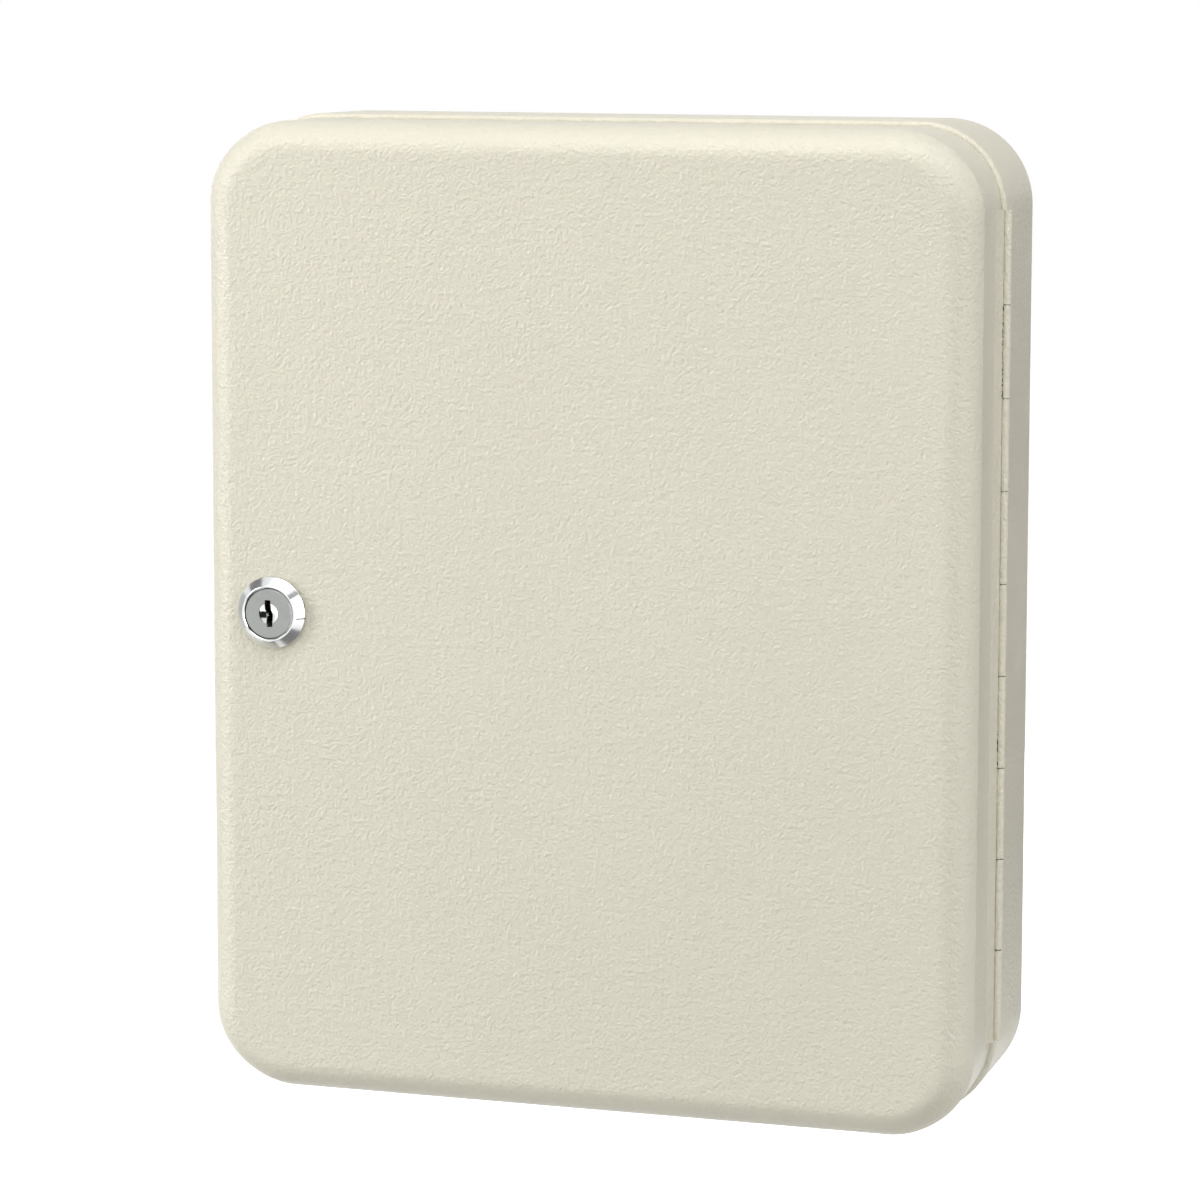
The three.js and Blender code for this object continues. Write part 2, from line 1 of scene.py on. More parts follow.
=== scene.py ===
"""Dresses the wall-hung key cabinet: casing, door, piano hinge, hook bars and cam lock.

Sizes are in millimetres in the part's own frame, with X towards the hinge side, Y into the wall
and Z up, and the origin in the middle of the back face. Meshes are written in metres.
"""
import logging
import math
from collections.abc import Iterable, Sequence
from dataclasses import dataclass, field
from enum import Enum

import bmesh
import bpy
from mathutils import Matrix, Vector
from mathutils.geometry import delaunay_2d_cdt


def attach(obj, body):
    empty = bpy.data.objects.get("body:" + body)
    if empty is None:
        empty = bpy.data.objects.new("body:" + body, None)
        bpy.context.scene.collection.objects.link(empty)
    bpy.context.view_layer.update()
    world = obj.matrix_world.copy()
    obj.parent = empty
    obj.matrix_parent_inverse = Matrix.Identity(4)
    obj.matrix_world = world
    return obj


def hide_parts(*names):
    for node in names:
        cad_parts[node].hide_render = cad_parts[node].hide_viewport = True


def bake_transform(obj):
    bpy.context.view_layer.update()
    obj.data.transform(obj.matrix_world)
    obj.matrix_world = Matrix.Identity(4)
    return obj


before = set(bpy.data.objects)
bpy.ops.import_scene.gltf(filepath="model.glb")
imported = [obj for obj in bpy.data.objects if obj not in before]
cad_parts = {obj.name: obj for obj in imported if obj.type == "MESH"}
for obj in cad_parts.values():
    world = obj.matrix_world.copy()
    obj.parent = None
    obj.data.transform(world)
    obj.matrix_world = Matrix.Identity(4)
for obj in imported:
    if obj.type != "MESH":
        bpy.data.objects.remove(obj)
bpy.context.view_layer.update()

MM = 0.001
QUARTER = math.pi / 2

# Distances in metres: points this close are one point, edges this short are dropped,
# and a point this close to a panel's depth lies on its rim.
WELD = 2e-6
SLIVER = 1e-7
RIM = 1e-6
# The same for flat outlines in millimetres, and the least angle that bends a sheet.
FLAT_WELD = 1e-6
PANEL_WELD = 1e-5
LEAST_TURN = 1e-9
# How far a cutter reaches past the surface that it cuts, in millimetres.
PAST = 1.0

log = logging.getLogger("key_cabinet")

Point2 = tuple[float, float]
Point3 = tuple[float, float, float]
Colour = tuple[float, float, float]


# Outlines and shapes

class Axis(Enum):
    """The axis that a turned form stands on."""

    Y = "Y"
    Z = "Z"


class Merge(Enum):
    """How one solid changes another."""

    CUT = "DIFFERENCE"
    JOIN = "UNION"
    MEET = "INTERSECT"


@dataclass
class Shape:
    """Points in millimetres and the faces between them."""

    points: list[Point3] = field(default_factory=list)
    faces: list[tuple[int, ...]] = field(default_factory=list)

    def moved(self, x: float, y: float, z: float) -> "Shape":
        """A copy of the shape in another place."""
        return self.changed(Matrix.Translation((x, y, z)))

    def changed(self, matrix: Matrix) -> "Shape":
        """A copy of the shape with a matrix applied to its points."""
        return Shape([tuple(matrix @ Vector(p)) for p in self.points], list(self.faces))


def arc(centre: Point2, radius: float, start: float, end: float, steps: int) -> list[Point2]:
    """Points along an arc.

    Args:
        centre: Middle of the arc.
        radius: Radius of the arc.
        start: First angle in radians.
        end: Last angle in radians.
        steps: Number of chords.

    Returns:
        One point more than there are chords.
    """
    angles = [start + (end - start) * i / steps for i in range(steps + 1)]
    return [(centre[0] + radius * math.cos(a), centre[1] + radius * math.sin(a)) for a in angles]


def round_rectangle(low: Point2, high: Point2, radius: float, steps: int) -> list[Point2]:
    """An anticlockwise rectangle with round corners.

    Args:
        low: Lowest corner.
        high: Highest corner.
        radius: Corner radius.
        steps: Chords in each corner.

    Returns:
        The outline without a repeated last point.
    """
    centres = [
        (high[0] - radius, low[1] + radius),
        (high[0] - radius, high[1] - radius),
        (low[0] + radius, high[1] - radius),
        (low[0] + radius, low[1] + radius),
    ]
    outline: list[Point2] = []
    for i, centre in enumerate(centres):
        outline += arc(centre, radius, (i - 1) * QUARTER, i * QUARTER, steps)
    return outline


def is_inside(point: Point2, outline: Sequence[Point2]) -> bool:
    """Whether a point lies inside a closed outline.

    Args:
        point: The point.
        outline: The outline's points in order.

    Returns:
        True if it lies inside.
    """
    inside = False
    for (ax, ay), (bx, by) in zip(outline, [*outline[1:], outline[0]]):
        if (ay > point[1]) != (by > point[1]):
            if point[0] < ax + (point[1] - ay) * (bx - ax) / (by - ay):
                inside = not inside
    return inside


def block(low: Point3, high: Point3) -> Shape:
    """A plain block between two corners, as a cutter or the core of a piece.

    Args:
        low: Lowest corner.
        high: Highest corner.

    Returns:
        The closed shape.
    """
    points = [(x, y, z) for x in (low[0], high[0]) for y in (low[1], high[1]) for z in (low[2], high[2])]
    faces = [(0, 1, 3, 2), (4, 6, 7, 5), (0, 4, 5, 1), (2, 3, 7, 6), (0, 2, 6, 4), (1, 5, 7, 3)]
    return Shape(points, faces)


def turned(profile: Sequence[Point2], steps: int, axis: Axis = Axis.Y, closed: bool = False) -> Shape:
    """A turned form from (radius, height) points along its axis.

    Args:
        profile: Points from one end to the other. A radius of 0 lies on the axis.
        steps: Facets around the axis.
        axis: The axis that heights are measured along.
        closed: Joins the last point to the first, for a form with a hole.

    Returns:
        The closed shape, with doubled points on the axis.
    """
    shape = Shape()
    for radius, height in profile:
        for i in range(steps):
            angle = 2 * math.pi * i / steps
            across, up = radius * math.cos(angle), radius * math.sin(angle)
            shape.points.append((across, height, up) if axis is Axis.Y else (across, up, height))
    pairs = [(i, i + 1) for i in range(len(profile) - 1)]
    if closed:
        pairs.append((len(profile) - 1, 0))
    for low, high in pairs:
        for i in range(steps):
            j = (i + 1) % steps
            shape.faces.append((low * steps + i, low * steps + j, high * steps + j, high * steps + i))
    return shape


def prism(outline: Sequence[Point2], front: float, back: float) -> Shape:
    """A straight form along Y from an outline in X and Z.

    Args:
        outline: Points in order, without a repeated last one.
        front: Y of the first end.
        back: Y of the other end.

    Returns:
        The closed shape, with the points of the first end before the others.
    """
    count = len(outline)
    points = [(x, front, z) for x, z in outline] + [(x, back, z) for x, z in outline]
    sides = [(i, (i + 1) % count, count + (i + 1) % count, count + i) for i in range(count)]
    return Shape(points, [tuple(range(count)), tuple(range(count, 2 * count)), *sides])


@dataclass(frozen=True)
class Run:
    """One run of a bent sheet's middle line: straight, or an arc with a signed angle."""

    length: float
    angle: float = 0.0


@dataclass(frozen=True)
class BentSheet:
    """A flat blank that is bent along one middle line.

    The blank's first coordinate stays straight, and its second one follows the line.
    """

    start: Point2
    heading: float
    runs: tuple[Run, ...]
    thickness: float
    bend_step: float = math.radians(10)

    def rows(self) -> list[float]:
        """Places along the line where the blank needs a row of points.

        Returns:
            Distances from the start, without the two ends.
        """
        places, done = [], 0.0
        for run in self.runs:
            steps = max(1, math.ceil(abs(run.angle) / self.bend_step))
            places += [done + run.length * i / steps for i in range(1, steps + 1)]
            done += run.length
        return places[:-1]

    def place(self, along: float, offset: float) -> Point2:
        """The point at a distance along the line and an offset to its left.

        Args:
            along: Distance from the start.
            offset: Distance from the middle line.

        Returns:
            The point.
        """
        x, y = self.start
        heading, left = self.heading, along
        for i, run in enumerate(self.runs):
            part = left if i == len(self.runs) - 1 else min(left, run.length)
            turn = run.angle * part / run.length
            if abs(turn) > LEAST_TURN:
                radius = part / turn
                x += radius * (math.sin(heading + turn) - math.sin(heading))
                y -= radius * (math.cos(heading + turn) - math.cos(heading))
            else:
                x, y = x + part * math.cos(heading), y + part * math.sin(heading)
            heading, left = heading + turn, left - part
            if left <= 0:
                break
        return x - offset * math.sin(heading), y + offset * math.cos(heading)

    def solid(self, outline: Sequence[Point2], holes: Sequence[Sequence[Point2]] = ()) -> Shape:
        """Bends a blank of the sheet's thickness.

        Args:
            outline: The blank's edge as (across, along) points.
            holes: Edges of the holes through it.

        Returns:
            A closed shape with across as X and the line in Y and Z.
        """
        flat, edges = [], []
        for loop in (outline, *holes):
            first = len(flat)
            flat += [Vector(p) for p in loop]
            edges += [(first + i, first + (i + 1) % len(loop)) for i in range(len(loop))]
        low, high = min(p[0] for p in outline) - 1, max(p[0] for p in outline) + 1
        for along in self.rows():
            edges.append((len(flat), len(flat) + 1))
            flat += [Vector((low, along)), Vector((high, along))]
        found, _, triangles, *_ = delaunay_2d_cdt(flat, edges, [], 0, FLAT_WELD)
        kept = []
        for face in triangles:
            middle = sum((found[i] for i in face), Vector((0, 0))) / len(face)
            if is_inside(middle, outline) and not any(is_inside(middle, hole) for hole in holes):
                kept.append(tuple(face))
        return self._thicken([tuple(p) for p in found], kept)

    def _thicken(self, flat: list[Point2], kept: list[tuple[int, ...]]) -> Shape:
        """Gives the blank's triangles both faces and an edge.

        Args:
            flat: Points of the blank.
            kept: Its triangles.

        Returns:
            The closed, bent shape.
        """
        shape, count = Shape(), len(flat)
        for offset in (self.thickness / 2, -self.thickness / 2):
            for across, along in flat:
                y, z = self.place(along, offset)
                shape.points.append((across, y, z))
        sides = {(a, b) for face in kept for a, b in zip(face, (*face[1:], face[0]))}
        shape.faces += kept
        shape.faces += [tuple(count + i for i in reversed(face)) for face in kept]
        shape.faces += [(b, a, count + a, count + b) for a, b in sides if (b, a) not in sides]
        return shape


# Objects

def make_object(name: str, shape: Shape) -> bpy.types.Object:
    """Makes a mesh object of a shape, welded and with its faces outwards.

    Args:
        name: Name of the object and its mesh.
        shape: Points in millimetres and faces.

    Returns:
        The new object, linked to the scene.
    """
    mesh = bpy.data.meshes.new(name)
    mesh.from_pydata([Vector(p) * MM for p in shape.points], [], shape.faces)
    return tidy_mesh(link_object(name, mesh))


def link_object(name: str, data: bpy.types.ID | None) -> bpy.types.Object:
    """A new object for some data, linked to the scene.

    Args:
        name: Name of the object.
        data: Its mesh, curve, light or camera.

    Returns:
        The new object.
    """
    made = bpy.data.objects.new(name, data)
    bpy.context.scene.collection.objects.link(made)
    return made


def tidy_mesh(item: bpy.types.Object) -> bpy.types.Object:
    """Welds doubled points, drops empty faces and loose points, and turns faces outwards.

    Args:
        item: The mesh object.

    Returns:
        The same object.
    """
    work = bmesh.new()
    work.from_mesh(item.data)
    bmesh.ops.remove_doubles(work, verts=work.verts, dist=WELD)
    bmesh.ops.dissolve_degenerate(work, edges=work.edges, dist=SLIVER)
    loose = [v for v in work.verts if not v.link_faces]
    bmesh.ops.delete(work, geom=loose, context="VERTS")
    bmesh.ops.recalc_face_normals(work, faces=work.faces)
    work.to_mesh(item.data)
    work.free()
    return item


def freeze(item: bpy.types.Object) -> bpy.types.Object:
    """Turns an object's modifiers into plain mesh and removes them.

    Args:
        item: The object.

    Returns:
        The same object.
    """
    graph = bpy.context.evaluated_depsgraph_get()
    final = bpy.data.meshes.new_from_object(
        item.evaluated_get(graph), preserve_all_data_layers=True, depsgraph=graph
    )
    old = item.data
    item.modifiers.clear()
    item.data = final
    bpy.data.meshes.remove(old)
    final.name = item.name
    return item


def merge(item: bpy.types.Object, shape: Shape, how: Merge) -> bpy.types.Object:
    """Joins, cuts or meets an object with a shape.

    Args:
        item: The object that changes.
        shape: The closed shape that acts on it.
        how: What the shape does.

    Returns:
        The same object with the result as its mesh.
    """
    other = make_object("cutter", shape)
    step = item.modifiers.new("merge", "BOOLEAN")
    step.operation, step.solver, step.object = how.value, "EXACT", other
    freeze(item)
    bpy.data.meshes.remove(other.data)
    return item


def soften(item: bpy.types.Object, width: float, segments: int = 2, limit: float = 35.0) -> None:
    """Rounds the sharp edges of an object.

    Args:
        item: The object.
        width: Width of the rounding in millimetres.
        segments: Faces across the rounding.
        limit: Angle in degrees over which an edge is rounded.
    """
    step = item.modifiers.new("soften", "BEVEL")
    step.width, step.segments = width * MM, segments
    step.limit_method, step.angle_limit = "ANGLE", math.radians(limit)
    step.use_clamp_overlap = True
    freeze(item)


def shade(item: bpy.types.Object, sharp: float = 40.0) -> None:
    """Smooth shading that stays true on flat faces and breaks at sharp edges.

    Args:
        item: The object.
        sharp: Angle in degrees from which an edge is sharp.
    """
    mesh = item.data
    mesh.polygons.foreach_set("use_smooth", [True] * len(mesh.polygons))
    mesh.set_sharp_from_angle(angle=math.radians(sharp))
    step = item.modifiers.new("shade", "WEIGHTED_NORMAL")
    step.keep_sharp, step.weight = True, 50
    freeze(item)


def settle(
    item: bpy.types.Object,
    body: str,
    finish: bpy.types.Material,
    nodes: Iterable[str] = (),
) -> bpy.types.Object:
    """Gives a finished piece its material and its place in the frame.

    Args:
        item: The finished object.
        body: The moving body that it rides on.
        finish: Its material.
        nodes: The CAD nodes that it stands for.

    Returns:
        The same object.
    """
    item.data.materials.clear()
    item.data.materials.append(finish)
    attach(item, body)
    if nodes:
        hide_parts(*nodes)
    log.info("%s: %d faces on %s", item.name, len(item.data.polygons), body)
    return item


# Geometry Nodes

Socket = bpy.types.NodeSocket


class NodeMaker:
    """Adds nodes and links to one tree with short calls."""

    def __init__(self, tree: bpy.types.NodeTree) -> None:
        """Keeps the tree."""
        self.tree = tree

    def node(
        self, kind: str, inputs: dict[str | int, object] | None = None, **settings: object
    ) -> bpy.types.Node:
        """Adds a node.

        Args:
            kind: Blender's type name.
            inputs: A value or an output socket for each named or numbered input.
            **settings: Properties of the node.

        Returns:
            The new node.
        """
        made = self.tree.nodes.new(kind)
        for key, value in settings.items():
            setattr(made, key, value)
        for key, value in (inputs or {}).items():
            if isinstance(value, Socket):
                self.tree.links.new(value, made.inputs[key])
            else:
                made.inputs[key].default_value = value
        return made

    def math(self, operation: str, first: object, second: object = 0.0, third: object = 0.0) -> Socket:
        """A Math node's result."""
        return self.node("ShaderNodeMath", {0: first, 1: second, 2: third}, operation=operation).outputs[0]


class ShapeTree(NodeMaker):
    """A Geometry Nodes tree with named inputs, a geometry input and a finish."""

    def __init__(self, name: str, inputs: dict[str, str]) -> None:
        """Makes the tree and its sockets.

        Args:
            name: Name of the tree.
            inputs: A socket kind, such as Float or Int, for each input name.
        """
        super().__init__(bpy.data.node_groups.new(name, "GeometryNodeTree"))
        face = self.tree.interface
        face.new_socket("Geometry", in_out="INPUT", socket_type="NodeSocketGeometry")
        for label, kind in {**inputs, "Finish": "Material"}.items():
            face.new_socket(label, in_out="INPUT", socket_type=f"NodeSocket{kind}")
        face.new_socket("Geometry", in_out="OUTPUT", socket_type="NodeSocketGeometry")
        self.given = self.tree.nodes.new("NodeGroupInput").outputs

    def close(self, geometry: Socket) -> "ShapeTree":
        """Ends the tree in Realize Instances and Set Material.

        Args:
            geometry: The geometry so far.

        Returns:
            The finished tree.
        """
        plain = self.node("GeometryNodeRealizeInstances", {"Geometry": geometry})
        dressed = self.node("GeometryNodeSetMaterial", {
            "Geometry": plain.outputs[0], "Material": self.given["Finish"],
        })
        self.node("NodeGroupOutput", {0: dressed.outputs[0]})
        return self

    def grow(self, item: bpy.types.Object, values: dict[str, object]) -> bpy.types.Object:
        """Runs the tree on an object and leaves plain mesh.

        Args:
            item: The object that holds the tree's input geometry.
            values: A value for each named input.

        Returns:
            The same object.
        """
        step = item.modifiers.new("tree", "NODES")
        step.node_group = self.tree
        sockets = {
            s.name: s.identifier
            for s in self.tree.interface.items_tree
            if s.item_type == "SOCKET" and s.in_out == "INPUT"
        }
        for label, value in values.items():
            step[sockets[label]] = value
        return freeze(item)


def edge_sweep_tree() -> ShapeTree:
    """The tree that sweeps a profile around a rectangle with round corners.

    Returns:
        The tree.
    """
    maker = ShapeTree("edge_sweep", {
        "Width": "Float", "Height": "Float", "Corner Radius": "Float", "Corner Steps": "Int",
    })
    given = maker.given
    outline = maker.node("GeometryNodeCurvePrimitiveQuadrilateral", {
        "Width": given["Width"], "Height": given["Height"],
    })
    rounded = maker.node("GeometryNodeFilletCurve", {
        "Curve": outline.outputs[0], "Radius": given["Corner Radius"], "Count": given["Corner Steps"],
    }, mode="POLY")
    upright = maker.node("GeometryNodeTransform", {
        "Geometry": rounded.outputs[0], "Rotation": (QUARTER, 0, 0),
    })
    profile = maker.node("GeometryNodeMeshToCurve", {"Mesh": given["Geometry"]})
    swept = maker.node("GeometryNodeCurveToMesh", {
        "Curve": upright.outputs[0], "Profile Curve": profile.outputs[0],
    })
    return maker.close(swept.outputs[0])


def spiral_sweep_tree() -> ShapeTree:
    """The tree that sweeps a closed profile up a spiral, cut off level at a flat.

    Returns:
        The tree.
    """
    maker = ShapeTree("spiral_sweep", {
        "Turns": "Float", "Steps per Turn": "Int", "Radius": "Float", "Climb": "Float", "Half Flat": "Float",
    })
    given = maker.given
    spiral = maker.node("GeometryNodeCurveSpiral", {
        "Resolution": given["Steps per Turn"], "Rotations": given["Turns"],
        "Start Radius": given["Radius"], "End Radius": given["Radius"], "Height": given["Climb"],
    })
    profile = maker.node("GeometryNodeMeshToCurve", {"Mesh": given["Geometry"]})
    swept = maker.node("GeometryNodeCurveToMesh", {
        "Curve": spiral.outputs[0], "Profile Curve": profile.outputs[0], "Fill Caps": True,
    })
    place = maker.node("ShaderNodeSeparateXYZ", {0: maker.node("GeometryNodeInputPosition").outputs[0]})
    under = maker.math("MINIMUM", place.outputs["Y"], given["Half Flat"])
    level = maker.math("MAXIMUM", under, maker.math("MULTIPLY", given["Half Flat"], -1.0))
    held = maker.node("ShaderNodeCombineXYZ", {"X": place.outputs["X"], "Y": level, "Z": place.outputs["Z"]})
    shaped = maker.node("GeometryNodeSetPosition", {
        "Geometry": swept.outputs[0], "Position": held.outputs[0],
    })
    return maker.close(shaped.outputs[0])


def row_tree() -> ShapeTree:
    """The tree that repeats a mesh along a straight row.

    Returns:
        The tree.
    """
    maker = ShapeTree("row", {"Count": "Int", "Start": "Vector", "Step": "Vector"})
    given = maker.given
    line = maker.node("GeometryNodeMeshLine", {
        "Count": given["Count"], "Start Location": given["Start"], "Offset": given["Step"],
    }, mode="OFFSET")
    copies = maker.node("GeometryNodeInstanceOnPoints", {
        "Points": line.outputs[0], "Instance": given["Geometry"],
    })
    return maker.close(copies.outputs[0])


def profile_object(points: Sequence[Point2], closed: bool) -> bpy.types.Object:
    """A chain of edges for a tree to sweep.

    Args:
        points: Places in millimetres.
        closed: Joins the last one to the first.

    Returns:
        The new object.
    """
    edges = [(i, i + 1) for i in range(len(points) - 1)]
    if closed:
        edges.append((len(points) - 1, 0))
    mesh = bpy.data.meshes.new("profile")
    mesh.from_pydata([(x * MM, y * MM, 0) for x, y in points], edges, [])
    return link_object("profile", mesh)


# Finishes

class Grain(Enum):
    """The way that a metal's fine marks run."""

    TURNED = "turned"
    BRUSHED = "brushed"
    TUMBLED = "tumbled"


class EffectGroup(NodeMaker):
    """A shader node group with named inputs and outputs."""

    def __init__(self, name: str, inputs: dict[str, float], outputs: Sequence[str]) -> None:
        """Makes the group and its sockets.

        Args:
            name: Name of the group.
            inputs: Named numbers and their usual values.
            outputs: Names of the varying values that it gives.
        """
        super().__init__(bpy.data.node_groups.new(name, "ShaderNodeTree"))
        face = self.tree.interface
        face.new_socket("Place", in_out="INPUT", socket_type="NodeSocketVector")
        for label, value in inputs.items():
            face.new_socket(label, in_out="INPUT", socket_type="NodeSocketFloat").default_value = value
        for label in outputs:
            face.new_socket(label, in_out="OUTPUT", socket_type="NodeSocketFloat")
        self.given = self.tree.nodes.new("NodeGroupInput").outputs
        self.result = self.tree.nodes.new("NodeGroupOutput").inputs

    def give(self, label: str, value: Socket) -> None:
        """Sends a value to a named output."""
        self.tree.links.new(value, self.result[label])

    def noise(self, place: Socket, scale: object, detail: float = 2.0, roughness: float = 0.5) -> Socket:
        """A noise value from 0 to 1."""
        return self.node("ShaderNodeTexNoise", {
            "Vector": place, "Scale": scale, "Detail": detail, "Roughness": roughness,
        }).outputs[0]

    def ramp(self, value: Socket, low: float, high: float) -> Socket:
        """A smooth step from 0 at low to 1 at high."""
        return self.node("ShaderNodeMapRange", {
            "Value": value, "From Min": low, "From Max": high,
        }, interpolation_type="SMOOTHSTEP").outputs[0]


@dataclass(frozen=True)
class CoatTexture:
    """The leathery skin of textured powder coat. Sizes of marks are in noise units of their scale."""

    peel_scale: float = 640.0
    fine_scale: float = 1150.0
    speck_scale: float = 22.0
    cell_share: float = 0.45
    cell_smoothness: float = 0.9
    swell_scale: float = 0.8
    swell_share: float = 0.4
    wrinkle_slant: float = math.radians(38)
    wrinkle_stretch: Point3 = (0.35, 1.0, 1.6)
    wrinkle_scale: float = 0.55
    wrinkle_share: float = 0.28
    fine_share: float = 0.95
    speck_edge: Point2 = (0.011, 0.006)
    speck_chance: float = 0.62
    drift_scale: float = 9.0

    def group(self) -> EffectGroup:
        """Its height, its specks and its drift of tone as a node group.

        Returns:
            The group.
        """
        maker = EffectGroup("coat_texture", {
            "Peel Scale": self.peel_scale, "Fine Scale": self.fine_scale, "Speck Scale": self.speck_scale,
        }, ("Height", "Speck", "Drift"))
        place, peel = maker.given["Place"], maker.given["Peel Scale"]
        cells = maker.node("ShaderNodeTexVoronoi", {
            "Vector": place, "Scale": peel, "Smoothness": self.cell_smoothness, "Randomness": 1.0,
        }, feature="SMOOTH_F1").outputs["Distance"]
        swell = maker.noise(place, maker.math("MULTIPLY", peel, self.swell_scale))
        slant = maker.node("ShaderNodeMapping", {
            "Vector": place, "Rotation": (0.0, self.wrinkle_slant, 0.0), "Scale": self.wrinkle_stretch,
        }).outputs[0]
        wrinkle = maker.noise(slant, maker.math("MULTIPLY", peel, self.wrinkle_scale), detail=1.0)
        fine = maker.noise(place, maker.given["Fine Scale"], roughness=0.6)
        height = maker.math("MULTIPLY", cells, self.cell_share)
        for part, share in (
            (swell, self.swell_share), (wrinkle, self.wrinkle_share), (fine, self.fine_share),
        ):
            height = maker.math("MULTIPLY_ADD", part, share, height)
        maker.give("Height", height)
        speck = maker.node("ShaderNodeTexVoronoi", {"Vector": place, "Scale": maker.given["Speck Scale"]})
        near = maker.ramp(speck.outputs["Distance"], *self.speck_edge)
        chosen = maker.math("GREATER_THAN", speck.outputs["Color"], self.speck_chance)
        maker.give("Speck", maker.math("MULTIPLY", near, chosen))
        maker.give("Drift", maker.noise(place, self.drift_scale, detail=3.0))
        return maker


@dataclass(frozen=True)
class Handling:
    """Faint smudges and dull patches left by hands and dust."""

    scale: float = 30.0
    edge: Point2 = (0.42, 0.68)

    def group(self) -> EffectGroup:
        """The mask of the smudges as a node group.

        Returns:
            The group.
        """
        maker = EffectGroup("handling", {"Smudge Scale": self.scale}, ("Smudge",))
        broad = maker.noise(maker.given["Place"], maker.given["Smudge Scale"], detail=4.0, roughness=0.6)
        maker.give("Smudge", maker.ramp(broad, *self.edge))
        return maker


@dataclass(frozen=True)
class MetalGrain:
    """Fine lines and pits on metal."""

    grain_scale: float = 1200.0
    pit_scale: float = 2600.0
    pit_share: float = 0.25
    tone_edge: Point2 = (0.3, 0.7)

    def group(self) -> EffectGroup:
        """Their height and their light and dark tone as a node group.

        Returns:
            The group.
        """
        maker = EffectGroup("metal_grain", {
            "Grain Scale": self.grain_scale, "Pit Scale": self.pit_scale,
        }, ("Height", "Tone"))
        lines = maker.noise(maker.given["Place"], maker.given["Grain Scale"], detail=4.0, roughness=0.65)
        pits = maker.noise(maker.given["Place"], maker.given["Pit Scale"], detail=1.0)
        maker.give("Height", maker.math("MULTIPLY_ADD", pits, self.pit_share, lines))
        maker.give("Tone", maker.ramp(lines, *self.tone_edge))
        return maker


@dataclass(frozen=True)
class Effects:
    """The shader node groups that the finishes share."""

    coat: EffectGroup
    handling: EffectGroup
    grain: EffectGroup


class SurfaceMaker(NodeMaker):
    """Builds one material around its own Principled BSDF."""

    def __init__(self, name: str, constants: dict[str, object]) -> None:
        """Makes the material.

        Args:
            name: Name of the material.
            constants: Values for the shader's own sockets.
        """
        self.material = bpy.data.materials.new(name)
        self.material.use_nodes = True
        super().__init__(self.material.node_tree)
        self.shader = next(n for n in self.tree.nodes if n.type == "BSDF_PRINCIPLED").inputs
        for label, value in constants.items():
            self.shader[label].default_value = value
        self.place = self.node("ShaderNodeTexCoord").outputs["Object"]

    def effect(
        self, group: EffectGroup, place: Socket | None = None, **values: float
    ) -> bpy.types.NodeOutputs:
        """Places a shared effect.

        Args:
            group: The effect.
            place: Coordinates, or the object's own.
            **values: Its named numbers, with underscores for spaces.

        Returns:
            The effect's outputs.
        """
        made = self.tree.nodes.new("ShaderNodeGroup")
        made.node_tree = group.tree
        self.tree.links.new(place or self.place, made.inputs["Place"])
        for label, value in values.items():
            made.inputs[label.replace("_", " ")].default_value = value
        return made.outputs

    def mix(self, mask: Socket, first: object, second: object) -> Socket:
        """A colour between two, by a mask.

        Args:
            mask: 0 for the first colour, 1 for the second.
            first: A colour or a socket.
            second: A colour or a socket.

        Returns:
            The mixed colour.
        """
        made = self.node("ShaderNodeMix", {0: mask}, data_type="RGBA")
        for index, value in ((6, first), (7, second)):
            if isinstance(value, Socket):
                self.tree.links.new(value, made.inputs[index])
            else:
                made.inputs[index].default_value = (*value, 1.0)
        return made.outputs[2]

    def span(self, value: Socket, low: float, high: float) -> Socket:
        """A number from low to high as a mask goes from 0 to 1."""
        return self.node("ShaderNodeMapRange", {"Value": value, "To Min": low, "To Max": high}).outputs[0]

    def within(self, place: Socket, low: float, high: float) -> Socket:
        """1 where a coordinate lies between two places in millimetres, else 0."""
        off_middle = self.math("ABSOLUTE", self.math("SUBTRACT", place, (low + high) / 2 * MM))
        return self.math("LESS_THAN", off_middle, (high - low) / 2 * MM)

    def give(self, label: str, value: Socket) -> None:
        """Sends a varying value to the shader."""
        self.tree.links.new(value, self.shader[label])

    def bump(self, height: Socket, depth: float, strength: float = 1.0) -> None:
        """Raises the surface by a height in units of a depth in millimetres."""
        made = self.node("ShaderNodeBump", {"Height": height, "Distance": depth * MM, "Strength": strength})
        self.give("Normal", made.outputs[0])


def shaded(colour: Colour, share: float) -> Colour:
    """A colour made lighter or darker by a share."""
    return tuple(min(1.0, c * share) for c in colour)


